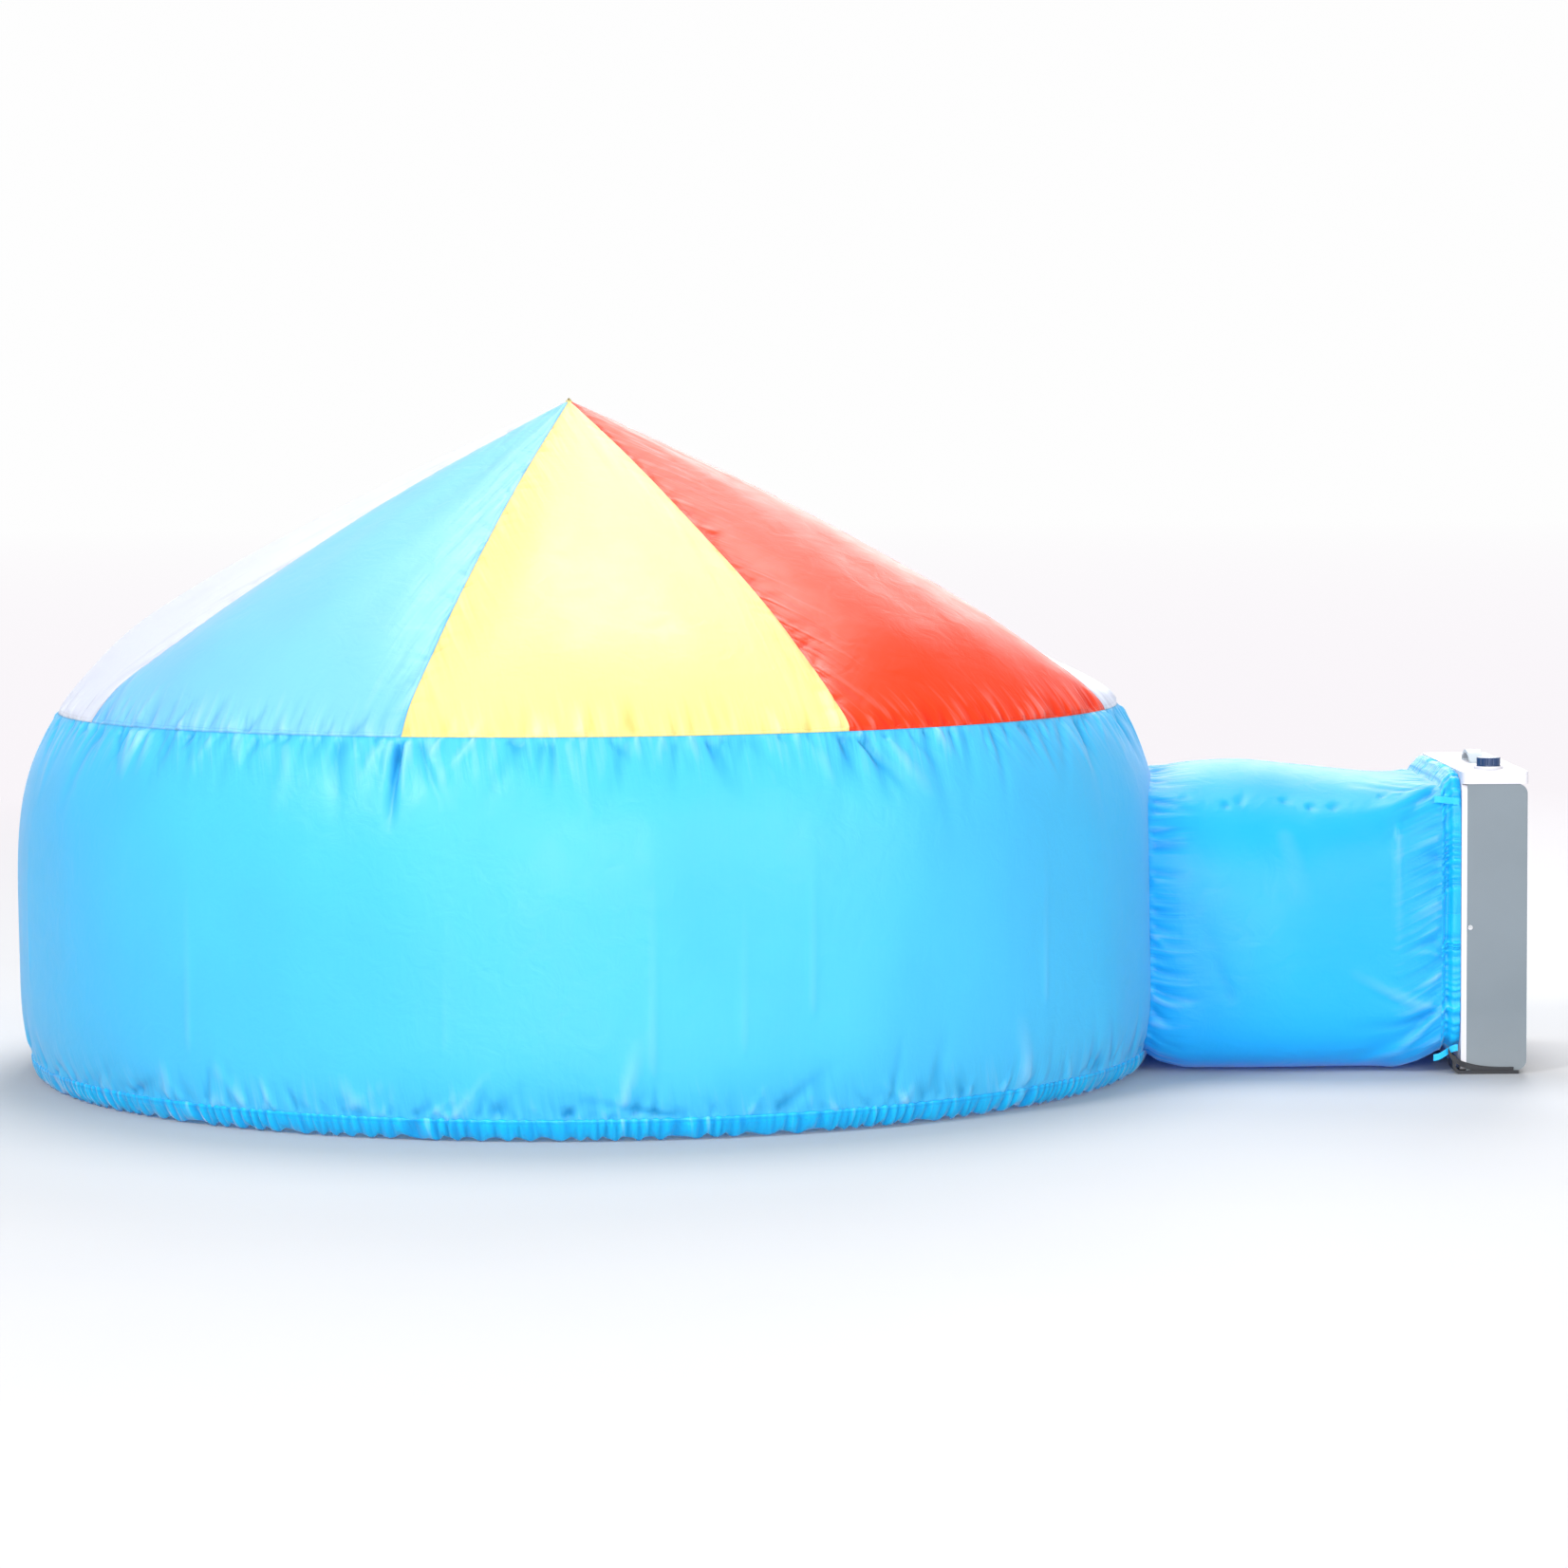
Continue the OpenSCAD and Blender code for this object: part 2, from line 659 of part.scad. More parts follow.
gore_blue_front_left();
gore_yellow_front();
gore_red_front_right();
gore_white_right();
gore_blue_back_right();
gore_yellow_back();
gore_red_back_left();
gore_white_left();
peak_patch();
gore_seam_tapes();
eave_seam_tape();
wall_front();
wall_right_inlet();
wall_back_doorway();
wall_left();
wall_seam_tapes();
hem_casing();
hem_elastic();
doorway_binding();
hook_tapes();
flap_hinge_binding();
door_flap();
loop_tapes();
inlet_seam_tape();
tunnel_top();
tunnel_near_side();
tunnel_far_side();
tunnel_floor();
fan_collar();
collar_elastic();
corner_ties();
fan_case();
fan_top_cover();
front_grille();
rear_grille();
blade_shroud();
motor_bracket();
motor_front_shell();
motor_rear_shell();
motor_stator();
motor_bearings();
motor_rotor();
motor_shaft();
fan_blade();
blade_lock_nut();
rotary_switch();
dial_ring();
speed_knob();
run_capacitor();
carry_handle();
fan_foot_near();
fan_foot_far();
case_screws();
cord_gland();
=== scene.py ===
"""Air-inflated dome play tent with a fan tunnel and a box fan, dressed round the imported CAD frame.

Metres, +Z up, +X from the dome towards the fan. Every place comes from the frame's boxes."""
import math

import bmesh
import bpy
import numpy as np
from bpy.props import FloatProperty, FloatVectorProperty, IntProperty, PointerProperty
from mathutils import Matrix, Vector


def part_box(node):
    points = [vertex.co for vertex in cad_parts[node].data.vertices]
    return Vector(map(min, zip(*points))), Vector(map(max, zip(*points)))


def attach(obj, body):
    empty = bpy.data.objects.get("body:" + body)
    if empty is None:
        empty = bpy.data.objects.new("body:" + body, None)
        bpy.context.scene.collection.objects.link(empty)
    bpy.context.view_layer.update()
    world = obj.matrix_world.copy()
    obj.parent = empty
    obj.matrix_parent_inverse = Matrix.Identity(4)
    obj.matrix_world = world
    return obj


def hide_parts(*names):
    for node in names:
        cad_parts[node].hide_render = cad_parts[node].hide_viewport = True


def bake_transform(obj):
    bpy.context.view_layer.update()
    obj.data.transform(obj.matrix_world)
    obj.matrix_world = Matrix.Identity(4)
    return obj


bl_info = {
    "name": "Inflated Dome Tent",
    "version": (1, 0, 0),
    "blender": (4, 5, 0),
    "location": "View3D > Sidebar > Dome Tent",
    "description": "Builds the cloth, seams and finishes of an air-inflated dome tent with its fan",
    "category": "Object",
}

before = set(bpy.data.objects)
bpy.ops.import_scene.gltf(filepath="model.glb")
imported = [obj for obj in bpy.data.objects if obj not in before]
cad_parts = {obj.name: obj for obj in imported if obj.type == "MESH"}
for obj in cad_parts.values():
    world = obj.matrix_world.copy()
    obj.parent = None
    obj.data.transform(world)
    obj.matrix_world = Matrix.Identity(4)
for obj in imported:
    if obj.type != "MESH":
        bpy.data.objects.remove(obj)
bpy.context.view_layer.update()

# ---- Places and sizes from the frame ----
HEM_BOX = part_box("hem_casing")
AXIS_X = (HEM_BOX[0].x + HEM_BOX[1].x) / 2
DOME_R = AXIS_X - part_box("wall_left")[0].x
EAVE_R = AXIS_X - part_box("gore_white_left")[0].x
EAVE_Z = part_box("wall_front")[1].z
HEM_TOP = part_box("wall_front")[0].z
APEX_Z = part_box("peak_patch")[1].z
PATCH_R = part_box("peak_patch")[1].x - AXIS_X
TIP_R = 0.006
FAN_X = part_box("front_grille")[0].x
TUNNEL_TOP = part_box("tunnel_top")[1].z
TUNNEL_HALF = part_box("tunnel_top")[1].y
TUNNEL_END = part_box("tunnel_top")[1].x
TUNNEL_START = AXIS_X + DOME_R
COLLAR_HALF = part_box("collar_elastic")[1].y - 0.002
COLLAR_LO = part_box("collar_elastic")[0].z + 0.002
COLLAR_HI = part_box("collar_elastic")[1].z - 0.002
FLAP_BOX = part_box("door_flap")

BULGE_Z = 0.250          # height of the wall's widest point
FLOOR_DRAW_Z = 0.200     # below this the wall draws in
HEM_IN = 0.040           # how far it draws in at the floor
GORE = math.radians(45)
GORE_TURN = math.radians(-151.3)
GORES = [
    ("gore_blue_front_left", "pale_blue_cloth"), ("gore_yellow_front", "lemon_cloth"),
    ("gore_red_front_right", "coral_cloth"), ("gore_white_right", "white_cloth"),
    ("gore_blue_back_right", "pale_blue_cloth"), ("gore_yellow_back", "lemon_cloth"),
    ("gore_red_back_left", "coral_cloth"), ("gore_white_left", "white_cloth"),
]
WALLS = [("wall_front", 225), ("wall_right_inlet", -45), ("wall_back_doorway", 45), ("wall_left", 135)]
SLACK_GORE = 3           # this gore hangs nearly flat between its seams
TAPE_W = 0.016
TAPE_GAP = 0.0008        # between the cloth and the tape inside it
TAPE_THICK = 0.0006
DOME_MIDDLE = Vector((AXIS_X, 0, 0.3))
DOOR_LAP = 0.030         # how far the flap reaches past the doorway
DOOR_CORNER = 0.060
STRIP_W = 0.020          # hook and loop tapes
STITCH = 0.0032
PUCKERS = 34             # along each seam of the roof
# Fold depth also sets the cloth's painted shade in valleys and painted highlight on ridges.
FULL_FOLD = 0.008        # depth of a fold that is shaded in full
END_PLEATS = 78          # round each end of the tunnel
TUNNEL_GIRTH = 2.1       # round the tunnel's section, for laying out its folds
TUNNEL_RUN = TUNNEL_END - TUNNEL_START + 0.02
TUNNEL_PANELS = [
    ("tunnel_far_side", -35, 35), ("tunnel_top", 35, 145),
    ("tunnel_near_side", 145, 215), ("tunnel_floor", 215, 325),
]
CHANCE = np.random.default_rng(20)


# ---- Settings that a user would change ----
def length(name, text, value, low, high):
    return FloatProperty(name=name, description=text, default=value, min=low, max=high,
                         subtype="DISTANCE", unit="LENGTH", precision=4)


def faces(name, text, value, low, high):
    return IntProperty(name=name, description=text, default=value, min=low, max=high)


def paint(name, text, value):
    return FloatVectorProperty(name=name, description=text, default=value, size=3, min=0, max=1,
                               subtype="COLOR")


class TentSizes(bpy.types.PropertyGroup):
    cloth: length("Cloth", "Thickness of the fabric", 0.0007, 0.0002, 0.003)
    lean: length("Peak lean", "How far the peak leans away from the fan", 0.034, 0, 0.06)
    pillow: FloatProperty(name="Gore pillow", description="Rise of a gore, as a share of its radius",
                          default=0.036, min=0, max=0.1)
    gather: length("Gather depth", "Depth of the gathers beside the seams", 0.0075, 0, 0.01)
    ruche: length("Ruche depth", "Depth of the hem's gathers", 0.0042, 0, 0.01)
    ruche_pitch: length("Ruche pitch", "Usual distance between the hem's gathers", 0.021, 0.01, 0.05)
    wall_columns: faces("Wall columns", "Faces across a wall panel", 360, 60, 400)
    wall_rows: faces("Wall rows", "Faces up a wall panel", 112, 30, 200)
    gore_columns: faces("Gore columns", "Faces across a gore", 128, 30, 200)
    gore_rows: faces("Gore rows", "Faces up a gore", 160, 40, 240)


class TentColours(bpy.types.PropertyGroup):
    sky: paint("Sky cloth", "Wall", (0.105, 0.70, 1.0))
    # Painted shade: a deeper copy of the sky cloth, given to the tunnel for the less light that comes through
    # it.
    tunnel: paint("Tunnel cloth", "Tunnel, where less light comes through", (0.022, 0.60, 1.0))
    deep_sky: paint("Deep sky cloth", "Hem casing and collar", (0.002, 0.58, 1.0))
    pale_blue: paint("Pale blue cloth", "Blue gores", (0.25, 0.68, 1.0))
    lemon: paint("Lemon cloth", "Yellow gores", (0.96, 0.85, 0.36))
    coral: paint("Coral cloth", "Red gores", (1.0, 0.055, 0.0005))
    white: paint("White cloth", "White gores", (0.78, 0.80, 0.88))
    tape: paint("Seam tape", "Tapes inside the seams", (0.70, 0.80, 0.88))
    steel: paint("Painted steel", "Fan case", (0.148, 0.180, 0.206))
    navy: paint("Knob", "Speed knob", (0.010, 0.035, 0.11))
    black: paint("Foot", "Feet and small fittings", (0.012, 0.013, 0.018))


def sizes():
    return bpy.context.scene.tent_sizes


def colours():
    return bpy.context.scene.tent_colours


# ---- Small maths ----
def smooth(value):
    """0 to 1 with level ends."""
    held = np.clip(value, 0, 1)
    return held * held * (3 - 2 * held)


def wrapped(angle):
    return (angle + math.pi) % (2 * math.pi) - math.pi


def track(places, values, at, blur=0.10):
    """A rounded line through values at places, read at at."""
    fine = np.linspace(-0.3, 1.3, 641)
    line = np.interp(fine, places, values)
    window = np.hanning(int(blur * 400) | 1)
    window /= window.sum()
    half = len(window) // 2
    line = np.convolve(np.pad(line, half, mode="edge"), window, "valid")
    return np.interp(at, fine, line)


# ---- The dome's own curve: distance from the roof seam, up the roof or down the wall ----
def dome_curve():
    wall_z = np.linspace(0, EAVE_Z, 400)
    wall_r = DOME_R - (DOME_R - EAVE_R) * np.clip((wall_z - BULGE_Z) / (EAVE_Z - BULGE_Z), 0, 1) ** 4
    wall_r -= HEM_IN * np.clip((FLOOR_DRAW_Z - wall_z) / FLOOR_DRAW_Z, 0, 1) ** 3
    share = np.linspace(0, 1, 900)[1:] ** 1.6
    roof_r = EAVE_R * (1 - share)
    roof_z = EAVE_Z + (APEX_Z - EAVE_Z) * share ** 0.75
    radius, height = np.append(wall_r, roof_r), np.append(wall_z, roof_z)
    run = np.append(0, np.cumsum(np.hypot(np.diff(radius), np.diff(height))))
    run -= run[len(wall_z) - 1]
    out, up = np.gradient(height, run), -np.gradient(radius, run)
    size = np.hypot(out, up)
    return radius, height, run, out / size, up / size


CURVE_R, CURVE_Z, CURVE_RUN, CURVE_OUT, CURVE_UP = dome_curve()
ROOF_RUN = float(CURVE_RUN[-1])
HEM_RUN = float(np.interp(HEM_TOP, CURVE_Z, CURVE_RUN))


def radius_at(run):
    return np.interp(run, CURVE_RUN, CURVE_R)


# ---- Folds: each is a soft ridge or valley along a short line on the unrolled cloth ----
def gathers(count, start, short, long, depth, spread, lean=0.012, upward=1):
    """Folds that leave a seam all round the dome. upward is 1 up the cloth or -1 down it."""
    folds = []
    for i in range(count):
        angle = -math.pi + 2 * math.pi * (i + CHANCE.uniform(-0.45, 0.45)) / count
        reach = CHANCE.uniform(short, long) * CHANCE.uniform(0.6, 1.0)
        turn = CHANCE.normal(0, lean)
        size = depth * CHANCE.uniform(0.35, 1.0) * CHANCE.choice([-1, -1, 1])
        folds.append((angle, start, angle + turn, start + upward * reach,
                      spread * CHANCE.uniform(0.7, 1.5), size))
    return folds


def dome_folds():
    depth = sizes().gather
    folds = gathers(230, -0.002, 0.03, 0.15, depth * 1.1, 0.0068, 0.020, -1)
    folds += gathers(70, -0.002, 0.10, 0.26, depth, 0.010, 0.05, -1)
    folds += gathers(190, 0.002, 0.03, 0.12, depth * 1.15, 0.0075, 0.014)
    folds += gathers(210, HEM_RUN, 0.03, 0.10, depth, 0.0070, 0.035)
    folds += gathers(60, HEM_RUN, 0.07, 0.18, depth * 1.1, 0.010, 0.10)
    for i in range(len(GORES)):
        seam = GORE_TURN + i * GORE
        for j in range(PUCKERS):
            at = 0.05 + (ROOF_RUN - 0.16) * (j + CHANCE.uniform(-0.4, 0.4)) / PUCKERS
            side = CHANCE.choice([-1, 1])
            reach = CHANCE.uniform(0.02, 0.06) / max(float(radius_at(at)), 0.1)
            folds.append((seam, at, seam + side * reach, at + CHANCE.uniform(-0.02, 0.035), 0.006,
                          CHANCE.uniform(-0.0046, -0.0014)))
        folds.append((seam, -0.004, seam + 0.006, -CHANCE.uniform(0.06, 0.10), 0.009, -0.0060))
    blue_yellow, yellow_red = GORE_TURN + GORE, GORE_TURN + 2 * GORE
    folds += [
        (blue_yellow, -0.002, blue_yellow + 0.002, -0.175, 0.0075, -0.0280),
        (blue_yellow + 0.016, -0.004, blue_yellow + 0.013, -0.130, 0.010, 0.0100),
        (blue_yellow - 0.016, -0.004, blue_yellow - 0.011, -0.110, 0.010, 0.0070),
        (yellow_red + 0.01, -0.004, yellow_red + 0.10, -0.135, 0.008, -0.0130),
        (yellow_red + 0.03, -0.004, yellow_red + 0.055, -0.150, 0.009, -0.0110),
        (yellow_red - 0.02, -0.004, yellow_red + 0.005, -0.120, 0.008, -0.0100),
        (yellow_red + 0.06, -0.010, yellow_red + 0.15, -0.150, 0.012, 0.0080),
    ]
    creases = [(-128, 0.07, 0.58, 0.0022), (-82.3, 0.06, 0.60, 0.0024), (-74, 0.10, 0.56, 0.0018),
               (-67.5, 0.08, 0.50, 0.0020), (-101, 0.20, 0.55, 0.0012), (-40, 0.08, 0.52, 0.0022),
               (20, 0.10, 0.5, 0.002), (78, 0.1, 0.55, 0.002), (128, 0.08, 0.55, 0.002),
               (-160, 0.1, 0.5, 0.002)]
    for degrees, top, low, size in creases:
        angle = math.radians(degrees)
        folds.append((angle, -low, angle + 0.004, -top, 0.010, size))
    return folds


def fold_push(folds, across_angle, along, radius_of=None):
    """Sum of the folds at each point. Folds are (angle, along, angle, along, width, depth)."""
    push = np.zeros(len(along))
    for a0, v0, a1, v1, width, depth in folds:
        scale = float(radius_at((v0 + v1) / 2)) if radius_of is None else radius_of
        line = Vector(((a1 - a0) * scale, v1 - v0))
        reach = 3 * width
        near = np.flatnonzero((along > min(v0, v1) - reach) & (along < max(v0, v1) + reach))
        turn = across_angle[near] - a0
        turn = wrapped(turn) if radius_of is None else turn
        close = np.abs(turn - (a1 - a0) / 2) * scale < abs(line.x) / 2 + reach
        near, across = near[close], turn[close] * scale
        if not len(near):
            continue
        up = along[near] - v0
        size = line.length
        share = (across * line.x + up * line.y) / size ** 2
        off = (across * line.y - up * line.x) / size
        strength = smooth(share / 0.12) * np.clip(1 - share, 0, 1) ** 1.3
        push[near] += depth * strength * np.exp(-(off / (width * (0.7 + 0.9 * np.clip(share, 0, 1)))) ** 2)
    return push


WAVES = [(CHANCE.integers(3, 34), CHANCE.uniform(1.5, 11), CHANCE.uniform(0, 6.28), CHANCE.uniform(0, 6.28))
         for _ in range(16)]
SHARED = {}


def dome_push(angle, run):
    """How far the cloth stands off the plain dome. All the dome's pieces share it, so seams stay shut."""
    if "folds" not in SHARED:
        SHARED["folds"] = dome_folds()
    radius = radius_at(run)
    gore_share = 2 * (((angle - GORE_TURN) / GORE) % 1.0) - 1
    on_roof = smooth(run / 0.24)
    puffed = 1 - np.abs(gore_share) ** 2.8
    gore = np.floor(((angle - GORE_TURN) / GORE) % 8.0)
    fullness = np.where(gore == SLACK_GORE, -0.9, 1.0)
    push = sizes().pillow * radius * on_roof * (fullness * puffed - 0.42)
    held = smooth(np.abs(run) / 0.10) * smooth((run - HEM_RUN) / 0.12) * np.clip(radius / 0.5, 0, 1)
    for turns, climb, early, late in WAVES:
        size = held * 0.028 / (turns + 14)
        push += size * np.sin(turns * angle + early) * np.sin(climb * run + late) * 0.9
    seam_gap = (1 - np.abs(gore_share)) * GORE / 2 * radius
    push -= 0.0012 * np.exp(-(seam_gap / 0.004) ** 2) * smooth(run / 0.05)
    folded = fold_push(SHARED["folds"], angle, run)
    return push + folded, folded


def dome_place(angle, run, off=0.0, piece=None):
    """Points on the blown-up dome, off metres outside its cloth.

    A piece, if given, gets its folds' depth to shade by."""
    out, up = np.interp(run, CURVE_RUN, CURVE_OUT), np.interp(run, CURVE_RUN, CURVE_UP)
    push, folded = dome_push(angle, run)
    if piece is not None:
        mark_painted_folds(piece, folded)
    push = push + off
    radius, height = radius_at(run) + out * push, np.interp(run, CURVE_RUN, CURVE_Z) + up * push
    shift = sizes().lean * np.clip((height - EAVE_Z) / (APEX_Z - EAVE_Z), 0, 1) ** 1.5
    return np.stack([AXIS_X + radius * np.cos(angle) - shift, radius * np.sin(angle), height], 1)


# ---- Mesh helpers ----
def read_points(mesh):
    points = np.empty(len(mesh.vertices) * 3)
    mesh.vertices.foreach_get("co", points)
    return points.reshape(-1, 3)


def write_points(mesh, points):
    mesh.vertices.foreach_set("co", np.ascontiguousarray(points, dtype=np.float64).ravel())
    mesh.update()


def lay_map(mesh, name, across, along):
    """A UV map in metres, from a value for each vertex."""
    corners = np.empty(len(mesh.loops), dtype=np.int64)
    mesh.loops.foreach_get("vertex_index", corners)
    layer = mesh.uv_layers.new(name=name)
    layer.data.foreach_set("uv", np.stack([across[corners], along[corners]], 1).astype(np.float32).ravel())


def mark_painted_folds(piece, depth):
    """Writes each point's fold as -1 in a deep valley to 1 on a high ridge."""
    # The value paints shade into the cloth's colour in valleys and a painted highlight on ridges.
    layer = piece.data.attributes.new("fold", "FLOAT", "POINT")
    layer.data.foreach_set("value", np.clip(depth / FULL_FOLD, -1, 1).astype(np.float32))


def make_object(name, bm, material, soft=True):
    mesh = bpy.data.meshes.new(name)
    bm.to_mesh(mesh)
    bm.free()
    piece = bpy.data.objects.new(name, mesh)
    bpy.context.scene.collection.objects.link(piece)
    mesh.materials.append(material)
    mesh.polygons.foreach_set("use_smooth", [soft] * len(mesh.polygons))
    return piece


def thicken(piece, thickness=None, offset=-1.0):
    made = piece.modifiers.new("Thickness", "SOLIDIFY")
    made.thickness = thickness or sizes().cloth
    made.offset = offset
    made.use_even_offset = False
    return piece


def grid_sheet(name, finish, columns, rows):
    """A flat grid that the caller lays in place, with each point's share across and share up."""
    bm = bmesh.new()
    bmesh.ops.create_grid(bm, x_segments=columns, y_segments=rows, size=0.5)
    piece = make_object(name, bm, finish_named(finish))
    points = read_points(piece.data) + 0.5
    return piece, points[:, 0], points[:, 1]


def dome_sheet(name, finish, angle0, angle1, run0, run1, columns, rows,
               off=0.0, keep=None, width=None):
    """A panel of the dome's cloth, laid on the dome's curve and then blown up.

    keep trims it to an outline, and width holds a tape to one width."""
    piece, across, up = grid_sheet(name, finish, columns, rows)
    centre, half = (angle0 + angle1) / 2, (angle1 - angle0) / 2
    turn, run = half * (2 * across - 1), run0 + (run1 - run0) * up
    if keep is not None:
        angle, radius = centre + turn, radius_at(run)
        plain = np.stack([AXIS_X + radius * np.cos(angle), radius * np.sin(angle),
                          np.interp(run, CURVE_RUN, CURVE_Z)], 1)
        write_points(piece.data, plain)
        trim(piece, *keep)
        points = read_points(piece.data)
        turn = wrapped(np.arctan2(points[:, 1], points[:, 0] - AXIS_X) - centre)
        run = np.interp(points[:, 2], CURVE_Z, CURVE_RUN)
    radius = radius_at(run)
    if width is not None:
        turn = turn / half * (width / 2) / radius
    lay_map(piece.data, "weave", turn * radius, run)
    edge = (GORE / 2 - np.abs(turn)) * radius if run1 > 0.1 else run - HEM_RUN + 0.02
    lay_map(piece.data, "seam", run, np.minimum(edge, np.abs(run)))
    write_points(piece.data, dome_place(centre + turn, run, off, piece))
    face_away(piece, DOME_MIDDLE)
    return piece


def face_away(piece, middle, weld=0.0):
    """Makes a sheet's faces look away from a point, and shuts its seams where weld says."""
    bm = bmesh.new()
    bm.from_mesh(piece.data)
    if weld:
        bmesh.ops.remove_doubles(bm, verts=bm.verts, dist=weld)
    bmesh.ops.recalc_face_normals(bm, faces=bm.faces)
    for edge in bm.edges:
        edge.smooth = not edge.is_boundary
    facing = sum(f.normal.dot(f.calc_center_median() - middle) for f in bm.faces)
    if facing < 0:
        bmesh.ops.reverse_faces(bm, faces=bm.faces)
    bm.to_mesh(piece.data)
    bm.free()


def rounded_outline(half_w, half_h, corner, count=480):
    """A rounded rectangle about the origin as points."""
    points = []
    for k in range(4):
        middle = math.pi / 2 * k + math.pi / 4
        sign = (1 if math.cos(middle) > 0 else -1, 1 if math.sin(middle) > 0 else -1)
        for i in range(count // 4):
            angle = math.pi / 2 * (k + i / (count // 4 - 1))
            points.append((sign[0] * (half_w - corner) + corner * math.cos(angle),
                           sign[1] * (half_h - corner) + corner * math.sin(angle)))
    points = np.array(points)
    ring = np.vstack([points, points[:1]])
    run = np.append(0, np.cumsum(np.hypot(*np.diff(ring, axis=0).T)))
    even = np.linspace(0, run[-1], count * 4, endpoint=False)
    return np.stack([np.interp(even, run, ring[:, 0]), np.interp(even, run, ring[:, 1])], 1)


def inside_of(outline, points):
    """Which points lie in a closed outline."""
    x, y = points[:, 0], points[:, 1]
    found = np.zeros(len(points), bool)
    for (x0, y0), (x1, y1) in zip(outline[::6], np.roll(outline[::6], -1, axis=0)):
        crossing = (y0 > y) != (y1 > y)
        if crossing.any():
            found ^= crossing & (x < (x1 - x0) * (y - y0) / (y1 - y0 + 1e-12) + x0)
    return found


def trim(piece, side, outline, flat, place_back):
    """Deletes the faces in or out of an outline and draws the cut edge onto it.

    flat picks the outline's two coordinates, and side says what is taken away."""
    bm = bmesh.new()
    bm.from_mesh(piece.data)
    centres = np.array([f.calc_center_median() for f in bm.faces])
    within = inside_of(outline, centres[:, flat])
    gone = within if side == "inner" else ~within
    bmesh.ops.delete(bm, geom=[f for f, g in zip(bm.faces, gone) if g], context="FACES")
    rim = [v for v in bm.verts if v.is_boundary]
    fresh = rim if side == "outer" else [v for v in rim if is_new_rim(v, outline, flat)]
    if not fresh:
        raise RuntimeError("the opening lies outside the panel")
    for v in fresh:
        here = np.array([v.co[flat[0]], v.co[flat[1]]])
        nearest = outline[np.argmin(((outline - here) ** 2).sum(1))]
        v.co[flat[0]], v.co[flat[1]] = nearest
        place_back(v)
    bm.to_mesh(piece.data)
    bm.free()


def is_new_rim(v, outline, flat):
    here = np.array([v.co[flat[0]], v.co[flat[1]]])
    return ((outline - here) ** 2).sum(1).min() < 0.012 ** 2


def back_on_dome(fixed):
    """Moves a point back onto the plain dome along X or Y, keeping the coordinates of the outline."""
    def place(v):
        radius = float(np.interp(v.co.z, CURVE_Z, CURVE_R))
        if fixed == "y":
            v.co.x = AXIS_X + math.sqrt(radius ** 2 - v.co.y ** 2)
        else:
            v.co.y = math.sqrt(radius ** 2 - (v.co.x - AXIS_X) ** 2)
    return place


# ---- Materials ----
def node(tree, kind, values=None, **settings):
    made = tree.nodes.new(kind)
    for key, value in settings.items():
        setattr(made, key, value)
    for key, value in (values or {}).items():
        if isinstance(value, bpy.types.NodeSocket):
            tree.links.new(value, made.inputs[key])
        else:
            made.inputs[key].default_value = value
    return made


def empty_material(name):
    made = bpy.data.materials.new(name)
    made.use_nodes = True
    made.node_tree.nodes.clear()
    return made, made.node_tree


def sums(tree, operation, first, second):
    return node(tree, "ShaderNodeMath", {0: first, 1: second}, operation=operation).outputs[0]


def ranged(tree, value, low, high, start, end):
    return node(tree, "ShaderNodeMapRange",
                {"Value": value, "From Min": low, "From Max": high, "To Min": start, "To Max": end},
                clamp=True).outputs["Result"]


def blended(tree, share, first, second):
    return node(tree, "ShaderNodeMix", {0: share, 6: first, 7: second}, data_type="RGBA").outputs[2]


def solid(colour, scale=1.0):
    return tuple(min(1.0, c * scale) for c in colour) + (1.0,)


def deeper(colour, power):
    return tuple(c ** power for c in colour)
